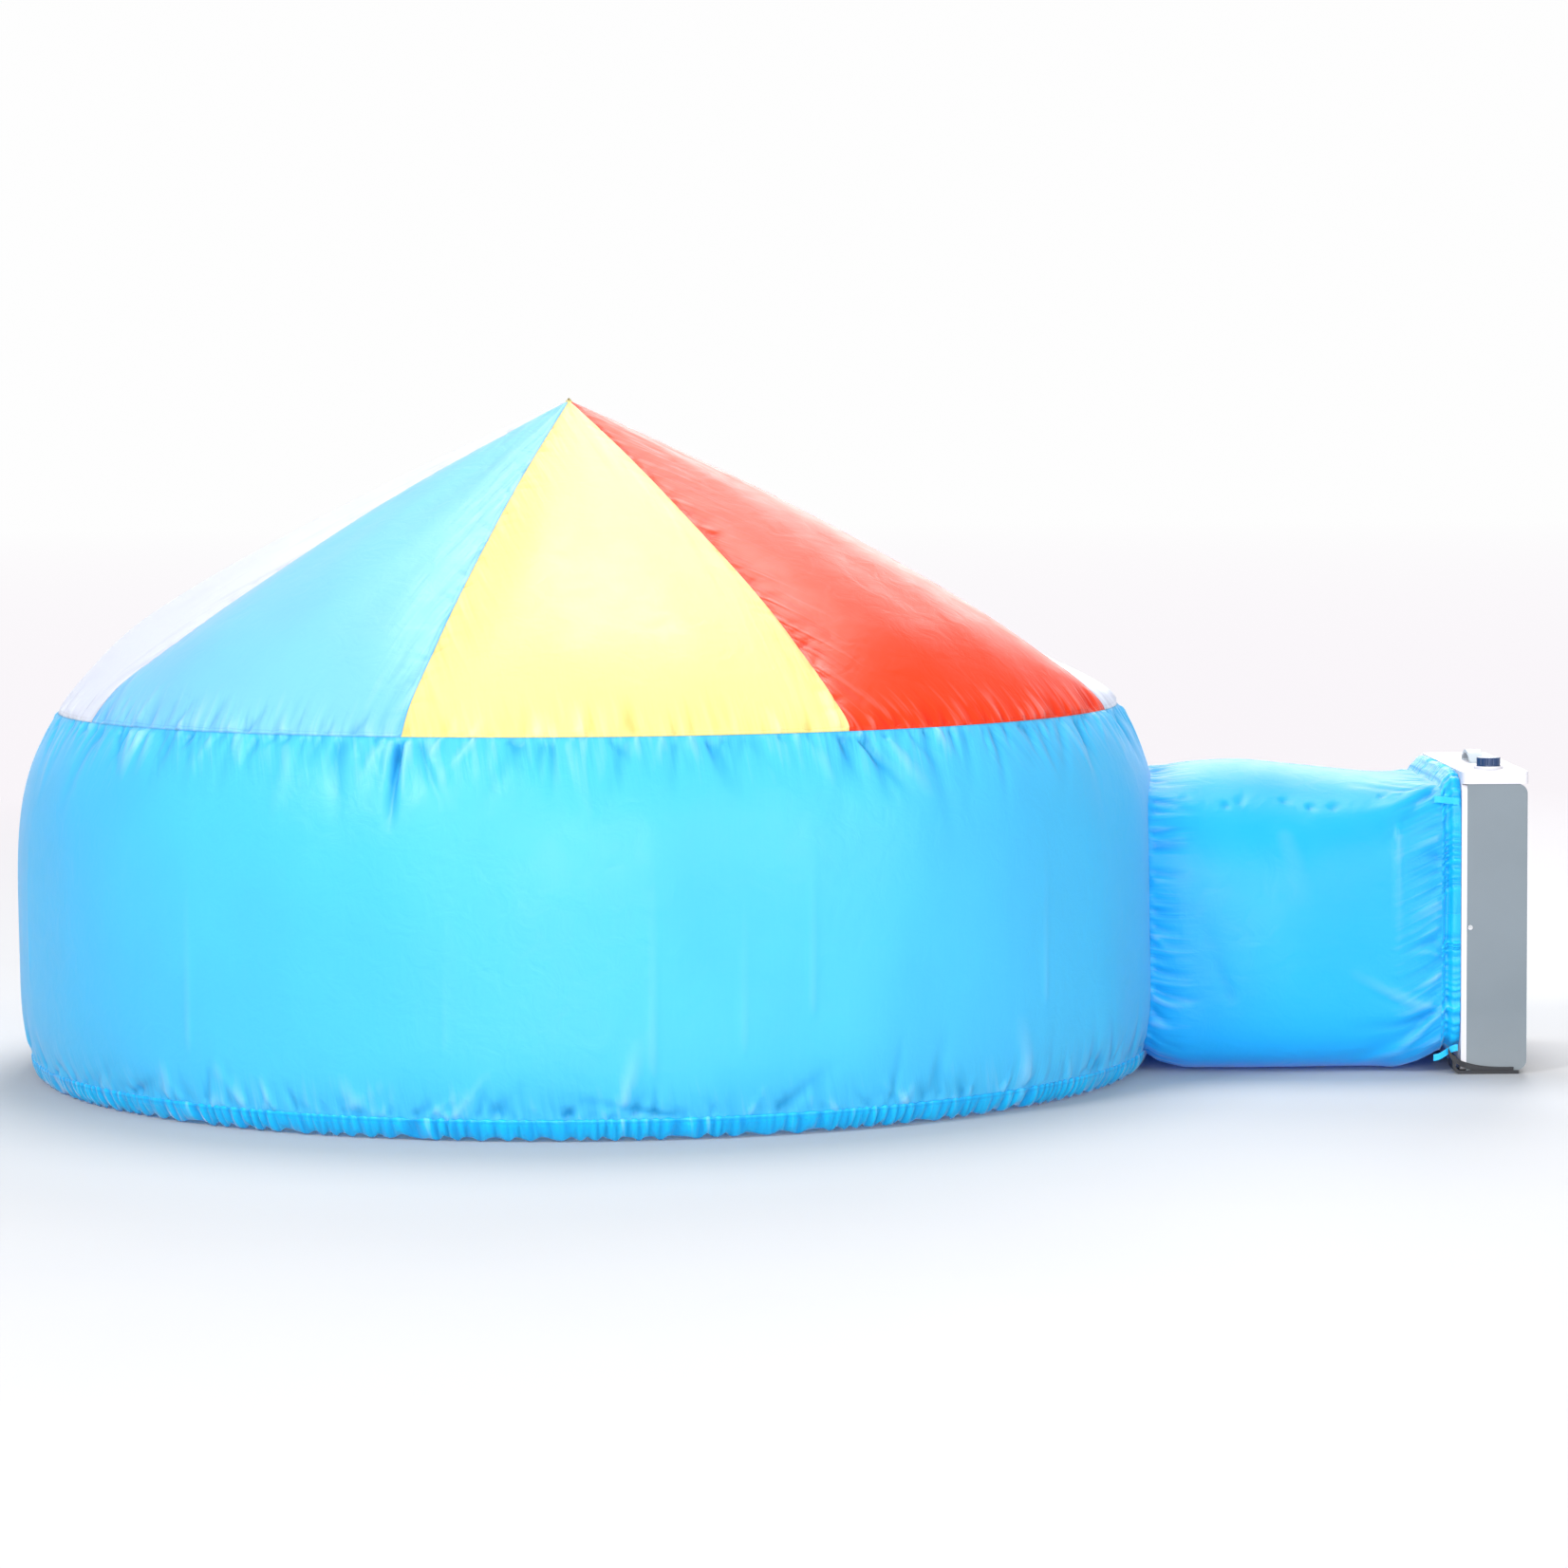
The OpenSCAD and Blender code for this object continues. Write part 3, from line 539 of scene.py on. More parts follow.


# valley and ridge set how strong the painted shade in fold valleys and the painted highlight on fold ridges
# are.
def cloth_material(name, colour, passes=0.42, line=0.55, roughness=0.42, sheen=0.45, clear=0.0, crinkle=0.5,
                   valley=0.75, ridge=0.45):
    """Thin coated nylon: woven, faintly crinkled, lets light through, with a sewn line at its edges."""
    made, tree = empty_material(name)
    weave = node(tree, "ShaderNodeUVMap", uv_map="weave").outputs[0]
    seam = node(tree, "ShaderNodeUVMap", uv_map="seam").outputs[0]
    place = node(tree, "ShaderNodeTexCoord").outputs["Object"]
    blotch = node(tree, "ShaderNodeTexNoise", {"Vector": place, "Scale": 2.6, "Detail": 3.0}).outputs[0]
    drawn_out = node(tree, "ShaderNodeMapping", {"Vector": weave, "Scale": (300, 14, 1)}).outputs[0]
    slub = node(tree, "ShaderNodeTexNoise", {"Vector": drawn_out, "Scale": 1.0, "Detail": 2.0}).outputs[0]
    tone = blended(tree, ranged(tree, blotch, 0.3, 0.7, 0, 1), solid(colour, 0.95), solid(colour, 1.03))
    tone = blended(tree, ranged(tree, slub, 0.35, 0.75, 0, 0.10), tone, solid(deeper(colour, 1.25)))
    parts = node(tree, "ShaderNodeSeparateXYZ", {0: seam})
    edge = ranged(tree, parts.outputs[1], 0.0010, 0.0030, line, 0)
    beside = sums(tree, "ABSOLUTE", sums(tree, "SUBTRACT", parts.outputs[1], 0.0070), 0)
    stitch = sums(tree, "SINE", sums(tree, "MULTIPLY", parts.outputs[0], 2 * math.pi / STITCH), 0)
    row = sums(tree, "MULTIPLY", ranged(tree, beside, 0.0003, 0.0009, 1, 0),
               ranged(tree, stitch, -0.1, 0.2, 0, 1))
    marked = blended(tree, sums(tree, "MAXIMUM", edge, sums(tree, "MULTIPLY", row, line * 0.5)), tone,
                     solid(deeper(colour, 1.5), 0.62))
    # Painted shade and painted highlight: the colour is darkened in fold valleys and paled on fold ridges,
    # from each point's fold depth and the streaks beside the seams.
    fold = node(tree, "ShaderNodeAttribute", attribute_name="fold").outputs["Fac"]
    slanted = node(tree, "ShaderNodeMapping", {"Vector": weave, "Rotation": (0, 0, 0.16),
                                               "Scale": (1 / 62, 1 / 5, 1)}, vector_type="TEXTURE").outputs[0]
    streak = node(tree, "ShaderNodeTexNoise", {"Vector": slanted, "Scale": 1.0, "Detail": 2.0,
                                               "Distortion": 0.25}).outputs[0]
    # Slanted streaks within 11 cm of a seam: a bump, and also painted shade and painted highlight in the
    # colour.
    pulled = sums(tree, "MULTIPLY", ranged(tree, streak, 0.30, 0.70, -1, 1),
                  ranged(tree, parts.outputs[1], 0.0, 0.11, 0.55, 0))
    painted_fold_light = sums(tree, "ADD", fold, pulled)
    shaded, ridge_highlight_colour = solid(deeper(colour, 1.5), 0.80), solid([0.4 * c + 0.6 for c in colour])
    marked = blended(tree, ranged(tree, painted_fold_light, -1, -0.06, valley, 0), marked, shaded)
    marked = blended(tree, ranged(tree, painted_fold_light, 0.06, 1, 0, ridge), marked, ridge_highlight_colour)
    thread = [node(tree, "ShaderNodeTexWave", {"Vector": weave, "Scale": 250.0},
                   bands_direction=way).outputs[1] for way in ("X", "Y")]
    crush = node(tree, "ShaderNodeTexNoise", {"Vector": place, "Scale": 22.0, "Detail": 4.0,
                                              "Roughness": 0.55, "Distortion": 0.6}).outputs[0]
    broad = node(tree, "ShaderNodeBump", {"Height": crush, "Strength": crinkle, "Distance": 0.0035})
    drawn = node(tree, "ShaderNodeBump", {"Height": pulled, "Strength": 0.8, "Distance": 0.0018,
                                          "Normal": broad.outputs[0]})
    sewn = node(tree, "ShaderNodeBump", {"Height": row, "Strength": 0.6, "Distance": 0.0004,
                                         "Normal": drawn.outputs[0]})
    fine = node(tree, "ShaderNodeBump", {"Height": sums(tree, "MAXIMUM", thread[0], thread[1]),
                                         "Strength": 0.12, "Distance": 0.0001, "Normal": sewn.outputs[0]})
    gloss = ranged(tree, crush, 0.3, 0.7, roughness - 0.05, roughness + 0.06)
    face = node(tree, "ShaderNodeBsdfPrincipled", {
        "Base Color": marked, "Roughness": gloss, "Specular IOR Level": 0.55, "Sheen Weight": sheen,
        "Sheen Roughness": 0.35, "Normal": fine.outputs[0]})
    glow = node(tree, "ShaderNodeBsdfTranslucent", {"Color": marked, "Normal": fine.outputs[0]})
    shader = node(tree, "ShaderNodeMixShader",
                  {0: passes, 1: face.outputs[0], 2: glow.outputs[0]}).outputs[0]
    if clear:
        gap = node(tree, "ShaderNodeBsdfTransparent", {"Color": solid(deeper(colour, 0.35))})
        shader = node(tree, "ShaderNodeMixShader", {0: clear, 1: shader, 2: gap.outputs[0]}).outputs[0]
    node(tree, "ShaderNodeOutputMaterial", {0: shader})
    return made


def hard_material(name, colour, roughness=0.4, metal=0.0, grain=900.0, depth=0.00012, stretch=(1, 1, 1),
                  wear=0.06, coat=0.0, low_grey=0.0):
    """Moulded or rolled surface: fine grain, uneven gloss and slight wear."""
    made, tree = empty_material(name)
    place = node(tree, "ShaderNodeTexCoord").outputs["Object"]
    pulled = node(tree, "ShaderNodeMapping", {"Vector": place, "Scale": stretch}).outputs[0]
    fine = node(tree, "ShaderNodeTexNoise", {"Vector": pulled, "Scale": grain, "Detail": 3.0}).outputs[0]
    broad = node(tree, "ShaderNodeTexNoise", {"Vector": pulled, "Scale": 9.0, "Detail": 4.0}).outputs[0]
    tone = blended(tree, ranged(tree, broad, 0.3, 0.7, 0, 1),
                   solid(colour, 1 - wear), solid(colour, 1 + wear))
    # Within 12 cm of the floor the colour is blended towards a pale grey.
    if low_grey:
        height = node(tree, "ShaderNodeSeparateXYZ", {0: place}).outputs[2]
        near_floor = ranged(tree, height, 0.0, 0.12, low_grey, 0)
        tone = blended(tree, near_floor, tone, (0.55, 0.54, 0.52, 1))
    bump = node(tree, "ShaderNodeBump", {"Height": fine, "Strength": 0.5, "Distance": depth})
    gloss = ranged(tree, broad, 0.3, 0.7, roughness - 0.06, roughness + 0.08)
    face = node(tree, "ShaderNodeBsdfPrincipled", {
        "Base Color": tone, "Roughness": gloss, "Metallic": metal, "Coat Weight": coat,
        "Coat Roughness": 0.25, "Normal": bump.outputs[0]})
    node(tree, "ShaderNodeOutputMaterial", {0: face.outputs[0]})
    return made


def winding_material(name):
    """Enamelled wire laid in turns round the motor's core."""
    made, tree = empty_material(name)
    place = node(tree, "ShaderNodeTexCoord").outputs["Object"]
    turns = node(tree, "ShaderNodeTexWave", {"Vector": place, "Scale": 260.0, "Distortion": 1.5},
                 bands_direction="X").outputs[1]
    tone = blended(tree, turns, (0.30, 0.12, 0.05, 1), (0.72, 0.36, 0.18, 1))
    bump = node(tree, "ShaderNodeBump", {"Height": turns, "Strength": 0.8, "Distance": 0.0004})
    face = node(tree, "ShaderNodeBsdfPrincipled", {
        "Base Color": tone, "Metallic": 0.8, "Roughness": 0.35, "Normal": bump.outputs[0]})
    node(tree, "ShaderNodeOutputMaterial", {0: face.outputs[0]})
    return made


def woven_tape_material(name, colour, rib=0.0016, roughness=0.75, hooks=False):
    """Narrow woven tape, elastic or hook tape, ribbed along its length."""
    made, tree = empty_material(name)
    weave = node(tree, "ShaderNodeUVMap", uv_map="weave").outputs[0]
    ribs = [node(tree, "ShaderNodeTexWave", {"Vector": weave, "Scale": 0.31 / rib},
                 bands_direction=way).outputs[1] for way in ("X", "Y")]
    height = sums(tree, "MULTIPLY" if hooks else "MAXIMUM", ribs[0], ribs[1])
    tone = blended(tree, height, solid(colour, 0.72), solid(colour, 1.0))
    bump = node(tree, "ShaderNodeBump", {"Height": height, "Strength": 0.7, "Distance": 0.0004})
    face = node(tree, "ShaderNodeBsdfPrincipled", {
        "Base Color": tone, "Roughness": roughness, "Sheen Weight": 0.3, "Normal": bump.outputs[0]})
    node(tree, "ShaderNodeOutputMaterial", {0: face.outputs[0]})
    return made


def finish_named(name):
    """The finish for one of the record's material slots."""
    if name in SHARED:
        return SHARED[name]
    tint = colours()
    makers = {
        "sky_cloth": lambda: cloth_material(name, tint.sky, 0.46, 0.50, clear=0.12),
        "shaded_tunnel_cloth": lambda: cloth_material(name, tint.tunnel, 0.46, 0.50, clear=0.12),
        "deep_sky_cloth": lambda: cloth_material(name, tint.deep_sky, 0.30, 0.35, crinkle=0.7),
        "pale_blue_cloth": lambda: cloth_material(name, tint.pale_blue, 0.44, 0.60),
        "lemon_cloth": lambda: cloth_material(name, tint.lemon, 0.44, 0.50),
        "coral_cloth": lambda: cloth_material(name, tint.coral, 0.40, 0.55, sheen=0.15),
        "white_cloth": lambda: cloth_material(name, tint.white, 0.40, 0.45),
        "seam_tape": lambda: woven_tape_material(name, tint.tape, 0.0020),
        "hook_and_loop": lambda: woven_tape_material(name, (0.78, 0.82, 0.86), 0.0015, 0.9, True),
        "elastic": lambda: woven_tape_material(name, (0.80, 0.83, 0.88), 0.0012),
        "grey_steel": lambda: hard_material(name, tint.steel, 0.38, 0.0, 700, 0.00010,
                                            wear=0.03, coat=0.15, low_grey=0.10),
        "white_plastic": lambda: hard_material(name, (0.58, 0.57, 0.61), 0.42, wear=0.03, low_grey=0.10),
        "pale_plastic": lambda: hard_material(name, (0.62, 0.70, 0.76), 0.30, wear=0.04, coat=0.1),
        "grey_plastic": lambda: hard_material(name, (0.37, 0.42, 0.46), 0.45, wear=0.05),
        "navy_plastic": lambda: hard_material(name, tint.navy, 0.35, wear=0.10),
        "black_plastic": lambda: hard_material(name, tint.black, 0.48, wear=0.20),
        "bare_steel": lambda: hard_material(name, (0.55, 0.56, 0.58), 0.32, 1.0, 300, 0.00008,
                                            (1, 1, 14), 0.08),
        "copper_winding": lambda: winding_material(name),
        "bearing_bronze": lambda: hard_material(name, (0.55, 0.33, 0.12), 0.36, 1.0, 500, 0.00010,
                                                wear=0.10),
    }
    SHARED[name] = makers[name]()
    return SHARED[name]


# ---- Stage ----
HORIZON = (0.950, 0.915, 0.950, 1)
PAPER_WHITE = (0.99, 0.99, 0.99, 1)


def build_stage():
    scene = bpy.context.scene
    bm = bmesh.new()
    bmesh.ops.create_circle(bm, cap_ends=True, segments=96, radius=60)
    floor_material, tree = empty_material("studio_floor")
    place = node(tree, "ShaderNodeTexCoord").outputs["Object"]
    away = node(tree, "ShaderNodeVectorMath", {0: place}, operation="LENGTH").outputs["Value"]
    mottled = node(tree, "ShaderNodeTexNoise", {"Vector": place, "Scale": 1.5, "Detail": 3.0}).outputs[0]
    tone = blended(tree, mottled, (0.495, 0.495, 0.51, 1), (0.515, 0.513, 0.525, 1))
    near = node(tree, "ShaderNodeBsdfPrincipled", {"Base Color": tone, "Roughness": 0.7,
                                                   "Specular IOR Level": 0.2})
    distance = blended(tree, ranged(tree, away, 9.0, 60.0, 0, 1), HORIZON, PAPER_WHITE)
    far = node(tree, "ShaderNodeEmission", {"Color": distance, "Strength": 1.0})
    mixed = node(tree, "ShaderNodeMixShader", {0: ranged(tree, away, 2.4, 7.0, 0, 1), 1: near.outputs[0],
                                               2: far.outputs[0]})
    node(tree, "ShaderNodeOutputMaterial", {0: mixed.outputs[0]})
    mesh = bpy.data.meshes.new("studio_floor")
    bm.to_mesh(mesh)
    bm.free()
    mesh.materials.append(floor_material)
    floor = bpy.data.objects.new("studio_floor", mesh)
    scene.collection.objects.link(floor)

    world = bpy.data.worlds.new("studio")
    world.use_nodes = True
    tree = world.node_tree
    tree.nodes.clear()
    seen = node(tree, "ShaderNodeBackground", {"Color": PAPER_WHITE, "Strength": 1.0})
    lit = node(tree, "ShaderNodeBackground", {"Color": (0.95, 0.98, 1.0, 1), "Strength": 0.50})
    ray = node(tree, "ShaderNodeLightPath").outputs["Is Camera Ray"]
    both = node(tree, "ShaderNodeMixShader", {0: ray, 1: lit.outputs[0], 2: seen.outputs[0]})
    node(tree, "ShaderNodeOutputWorld", {0: both.outputs[0]})
    scene.world = world

    add_lamp("key", (-4.5, -5.5, 5.0), 2.2, 385)
    add_lamp("fill", (-0.8, -9.0, 1.3), 5.0, 560)
    add_lamp("side", (5.5, -6.5, 2.6), 4.5, 290)
    add_lamp("high", (0.0, 1.8, 6.5), 3.6, 330)
    add_lamp("back", (1.2, 8.0, 4.6), 6.0, 560)
    scene.view_settings.view_transform = "Standard"
    scene.view_settings.look = "None"
    add_camera()


def add_lamp(name, place, size, power):
    light = bpy.data.lights.new(name, "AREA")
    light.shape = "DISK"
    light.size = size
    light.energy = power
    lamp = bpy.data.objects.new(name, light)
    bpy.context.scene.collection.objects.link(lamp)
    aim = Vector((AXIS_X + 0.2, 0, 0.5)) - Vector(place)
    lamp.matrix_world = Matrix.Translation(place) @ aim.to_track_quat("-Z", "Y").to_matrix().to_4x4()


def add_camera():
    """Camera low in front, level with the middle of the roof, a little nearer the fan."""
    away, side, height = 8.5, 0.3598, 1.1401
    pitch, roll, focal = 0.0733, -0.0064, 104.98
    lens = bpy.data.cameras.new("camera")
    lens.sensor_width = 36
    lens.lens = focal
    lens.clip_end = 200
    camera = bpy.data.objects.new("camera", lens)
    bpy.context.scene.collection.objects.link(camera)
    camera.matrix_world = (Matrix.Translation((AXIS_X + side, -away, height))
                           @ Matrix.Rotation(math.pi / 2 - pitch, 4, "X") @ Matrix.Rotation(roll, 4, "Z"))
    bpy.context.scene.camera = camera


# ---- Roof ----
def roof_blend(piece):
    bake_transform(piece)


def build_gores():
    for i, (name, finish) in enumerate(GORES):
        start = GORE_TURN + i * GORE
        piece = dome_sheet(name + "_cloth", finish, start, start + GORE, 0,
                           ROOF_RUN - TIP_R, sizes().gore_columns, sizes().gore_rows)
        thicken(piece)
        roof_blend(piece)
        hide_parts(name)


def build_seam_tapes():
    inside = -sizes().cloth - TAPE_GAP
    for i in range(len(GORES)):
        seam = GORE_TURN + i * GORE
        half = TAPE_W / 2 / EAVE_R
        piece = dome_sheet(f"gore_seam_tape_{i + 1}", "seam_tape", seam - half,
                           seam + half, 0.03, ROOF_RUN - PATCH_R - 0.02, 4, 150, inside, width=TAPE_W)
        thicken(piece, TAPE_THICK)
        roof_blend(piece)
        if i == 0:
            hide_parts("gore_seam_tapes")
    for i in range(4):
        start = math.pi / 2 * i
        piece = dome_sheet(f"eave_seam_tape_{i + 1}", "seam_tape", start,
                           start + math.pi / 2, -TAPE_W, -0.001, sizes().wall_columns, 4, inside - 0.001)
        thicken(piece, TAPE_THICK)
        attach(piece, "tent")
        half = TAPE_W / 2 / DOME_R
        turn = start + math.pi / 4
        upright = dome_sheet(f"wall_seam_tape_{i + 1}", "seam_tape", turn - half,
                             turn + half, HEM_RUN + 0.006, -TAPE_W - 0.003, 4, 110, inside)
        thicken(upright, TAPE_THICK)
        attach(upright, "tent")
        if i == 0:
            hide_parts("eave_seam_tape")
            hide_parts("wall_seam_tapes")


def build_peak():
    """Round patch under the gores' points, and the small cap that closes them."""
    patch = dome_sheet("peak_patch_cloth", "white_cloth", 0, 2 * math.pi,
                       ROOF_RUN - PATCH_R * 1.09, ROOF_RUN - 0.010, 96, 18, -sizes().cloth - 0.0012)
    face_away(patch, Vector((AXIS_X, 0, 0)), 0.00001)
    thicken(patch)
    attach(patch, "peak")
    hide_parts("peak_patch")
    bm = bmesh.new()
    bmesh.ops.create_cone(bm, cap_ends=True, segments=24, radius1=0.0085, radius2=0.0012, depth=0.009)
    bmesh.ops.bevel(bm, geom=bm.edges[:], offset=0.0008, segments=2, profile=0.5,
                    affect="EDGES", material=-1)
    tip = float(np.interp(ROOF_RUN, CURVE_RUN, CURVE_Z))
    bmesh.ops.translate(bm, verts=bm.verts, vec=(AXIS_X - sizes().lean, 0, tip - 0.0010))
    cap = make_object("peak_cap", bm, finish_named("lemon_cloth"))
    for name in ("weave", "seam"):
        points = read_points(cap.data)
        lay_map(cap.data, name, points[:, 0] - AXIS_X, np.abs(points[:, 1]) + 0.01)
    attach(cap, "peak")


# ---- Wall, doorway and inlet ----
def door_outline(grow):
    """Doorway in X and Z, from the flap's box."""
    half_w = (FLAP_BOX[1].x - FLAP_BOX[0].x) / 2 - DOOR_LAP + grow
    half_h = (FLAP_BOX[1].z - FLAP_BOX[0].z) / 2 - DOOR_LAP + grow
    middle = np.array([AXIS_X, (FLAP_BOX[0].z + FLAP_BOX[1].z) / 2])
    return rounded_outline(half_w, half_h, DOOR_CORNER + grow) + middle


def inlet_outline(grow=0.0):
    """The tunnel's first outline in Y and Z."""
    ring = tunnel_ring(0.0)
    middle = ring.mean(0)
    return middle + (ring - middle) * (1 + grow / 0.27)


def build_walls():
    for name, degrees in WALLS:
        start = math.radians(degrees)
        keep = None
        if name == "wall_back_doorway":
            keep = ("inner", door_outline(0), [0, 2], back_on_dome("x"))
        if name == "wall_right_inlet":
            keep = ("inner", inlet_outline(-0.001), [1, 2], back_on_dome("y"))
        piece = dome_sheet(name + "_cloth", "sky_cloth", start,
                           start + math.pi / 2, HEM_RUN - 0.004, 0, sizes().wall_columns, sizes().wall_rows,
                           keep=keep)
        thicken(piece)
        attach(piece, "tent")
        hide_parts(name)
    inside = -sizes().cloth - TAPE_GAP
    for name, node_name, outline, flat, place in (
            ("doorway_binding_tape", "doorway_binding", door_outline, [0, 2], back_on_dome("x")),
            ("inlet_tape", "inlet_seam_tape", inlet_outline, [1, 2], back_on_dome("y"))):
        piece = outline_tape(name, node_name, outline(0.0), outline(TAPE_W), flat, place, inside, "seam_tape")
        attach(piece, "tent")


def outline_tape(name, node_name, inner, outer, flat, place, off, finish):
    """A ring of tape between two outlines, laid on the dome's cloth."""
    bm = bmesh.new()
    step = 8
    loops = []
    for share in (0.0, 0.33, 0.67, 1.0):
        loop = []
        for p in (inner + (outer - inner) * share)[::step]:
            v = bm.verts.new((0, 0, 0))
            v.co[flat[0]], v.co[flat[1]] = p
            place(v)
            loop.append(v)
        loops.append([bm.edges.new((loop[i - 1], loop[i])) for i in range(len(loop))])
    for first, second in zip(loops, loops[1:]):
        bmesh.ops.bridge_loops(bm, edges=first + second)
    bmesh.ops.recalc_face_normals(bm, faces=bm.faces)
    bm.faces.ensure_lookup_table()
    if bm.faces[0].normal.dot(bm.faces[0].calc_center_median() - DOME_MIDDLE) < 0:
        bmesh.ops.reverse_faces(bm, faces=bm.faces)
    piece = make_object(name, bm, finish_named(finish))
    on_dome(piece, off)
    thicken(piece, 0.0007)
    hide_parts(node_name)
    return piece


def on_dome(piece, off):
    """Lays a piece that was made on the plain dome onto the blown-up one."""
    points = read_points(piece.data)
    angle = np.arctan2(points[:, 1], points[:, 0] - AXIS_X)
    run = np.interp(points[:, 2], CURVE_Z, CURVE_RUN)
    lay_map(piece.data, "weave", angle * DOME_R, run)
    lay_map(piece.data, "seam", run, np.full(len(run), 0.05))
    write_points(piece.data, dome_place(angle, run, off))


def build_door():
    """Flap outside the doorway, its bindings, and its fastening tapes."""
    lift = 0.0026
    side = math.radians(17.8)
    low = float(np.interp(FLAP_BOX[0].z - 0.01, CURVE_Z, CURVE_RUN))
    high = float(np.interp(FLAP_BOX[1].z + 0.01, CURVE_Z, CURVE_RUN))
    outline = door_outline(DOOR_LAP)
    flap = dome_sheet("door_flap_cloth", "sky_cloth", math.pi / 2 - side,
                      math.pi / 2 + side, low, high, 130, 110, lift,
                      keep=("outer", outline, [0, 2], back_on_dome("x")))
    thicken(flap)
    edge = outline_tape("door_flap_edging", "door_flap", door_outline(0.024), door_outline(0.0308), [0, 2],
                        back_on_dome("x"), lift + 0.0012, "deep_sky_cloth")
    edge.modifiers["Thickness"].thickness = 0.0030
    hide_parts("door_flap")
    for piece in (flap, edge):
        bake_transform(piece)
    strips = (("hook_tape", "hook_tapes", 0.0006, "tent"), ("loop_tape", "loop_tapes", 0.0017, "door_flap"))
    for name, node_name, off, body in strips:
        low_box, high_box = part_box(node_name)
        upright = door_strip(name + "_side", low_box.x, low_box.x + STRIP_W, 0.135, 0.525, off,
                             "hook_and_loop")
        level = door_strip(name + "_top", low_box.x + 0.084, high_box.x, high_box.z - STRIP_W, high_box.z,
                           off, "hook_and_loop")
        for piece in (upright, level):
            thicken(piece, 0.0005)
            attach(piece, body)
        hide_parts(node_name)
    low_box, high_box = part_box("flap_hinge_binding")
    hinge = door_strip("hinge_binding_tape", low_box.x - 0.004, high_box.x, low_box.z, high_box.z,
                       lift + 0.0008, "deep_sky_cloth")
    thicken(hinge, 0.0022)
    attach(hinge, "tent")
    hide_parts("flap_hinge_binding")


def door_strip(name, x0, x1, z0, z1, off, finish):
    """A straight strip beside the doorway, laid on the back wall's cloth."""
    columns, rows = max(2, int((x1 - x0) / 0.005)), max(2, int((z1 - z0) / 0.005))
    piece, across, up = grid_sheet(name, finish, columns, rows)
    x, z = x0 + (x1 - x0) * across, z0 + (z1 - z0) * up
    y = np.sqrt(np.interp(z, CURVE_Z, CURVE_R) ** 2 - (x - AXIS_X) ** 2)
    write_points(piece.data, np.stack([x, y, z], 1))
    face_away(piece, DOME_MIDDLE)
    on_dome(piece, off)
    return piece


# ---- Hem ----
def ruche(angle):
    """The hem's gathers round the dome: the main wave, a finer one, and the main wave's phase."""
    pitch = 2 * math.pi * DOME_R / sizes().ruche_pitch
    phase = pitch * angle + 5.0 * np.sin(13 * angle + 1)
    phase += 3.2 * np.sin(29 * angle) + 1.7 * np.sin(57 * angle)
    strong = 0.75 + 0.35 * np.sin(17 * angle + 0.6) + 0.25 * np.sin(41 * angle)
    return np.sin(phase) * strong, 0.35 * np.sin(2 * phase + 2.0), phase


def build_hem():
    """Ruched casing at the floor with its elastic inside."""
    half_h, half_t = HEM_TOP / 2 + 0.001, 0.0050
    piece, around, section = grid_sheet("hem_casing_cloth", "deep_sky_cloth", 1440, 20)
    angle, turn = 2 * math.pi * around - math.pi, 2 * math.pi * section
    out = half_t * np.sign(np.cos(turn)) * np.abs(np.cos(turn)) ** 0.8
    height = half_h * (1 + np.sign(np.sin(turn)) * np.abs(np.sin(turn)) ** 0.75)
    wave, second, phase = ruche(angle)
    share = np.clip(height / (2 * half_h), 0, 1)
    belly = np.abs(np.sin(math.pi * share)) ** 0.6
    radius = np.interp(height, CURVE_Z, CURVE_R) + 0.0005 + out * (1 + 0.25 * wave * belly)
    radius += sizes().ruche * (wave + second) * (0.35 + 0.65 * belly) * np.clip(1.35 - share, 0, 1)
    raised = (0.5 + 0.5 * np.sin(0.5 * phase + 0.8 * np.sin(23 * angle))) * 0.0065
    raised += (0.5 + 0.5 * wave) * 0.0030
    height = np.maximum(height + raised * (1 - share) ** 1.2, 0.0)
    height += 0.0015 * wave * smooth((share - 0.7) / 0.3)
    lay_map(piece.data, "weave", angle * DOME_R, height)
    lay_map(piece.data, "seam", angle * DOME_R, np.abs(height - HEM_TOP + 0.004))
    write_points(piece.data, np.stack([AXIS_X + radius * np.cos(angle), radius * np.sin(angle), height], 1))
    # Painted shade in the ruche's hollows and painted highlight on its crests; the offset leaves most of the
    # casing in painted shade.
    mark_painted_folds(piece, 0.004 * (wave + second) - 0.0035)
    close_tube(piece)
    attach(piece, "tent")
    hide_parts("hem_casing")

    band, around, up = grid_sheet("hem_elastic_band", "elastic", 1440, 4)
    angle = 2 * math.pi * around - math.pi
    wave, second, _ = ruche(angle)
    height = 0.017 + 0.014 * up
    share = height / (2 * half_h)
    radius = np.interp(height, CURVE_Z, CURVE_R) + 0.0005
    belly = 0.35 + 0.65 * np.sin(math.pi * share) ** 0.6
    radius += sizes().ruche * (wave + second) * belly * (1.35 - share)
    lay_map(band.data, "weave", angle * DOME_R, height)
    write_points(band.data, np.stack([AXIS_X + radius * np.cos(angle), radius * np.sin(angle), height], 1))
    face_away(band, Vector((AXIS_X, 0, 0)), 0.00001)
    thicken(band, 0.0010, 0.0)
    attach(band, "tent")
    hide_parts("hem_elastic")


def close_tube(piece):
    """Shuts a tube's seams and turns its faces outward."""
    bm = bmesh.new()
    bm.from_mesh(piece.data)
    bmesh.ops.remove_doubles(bm, verts=bm.verts, dist=0.00001)
    bmesh.ops.recalc_face_normals(bm, faces=bm.faces)
    bm.to_mesh(piece.data)
    bm.free()


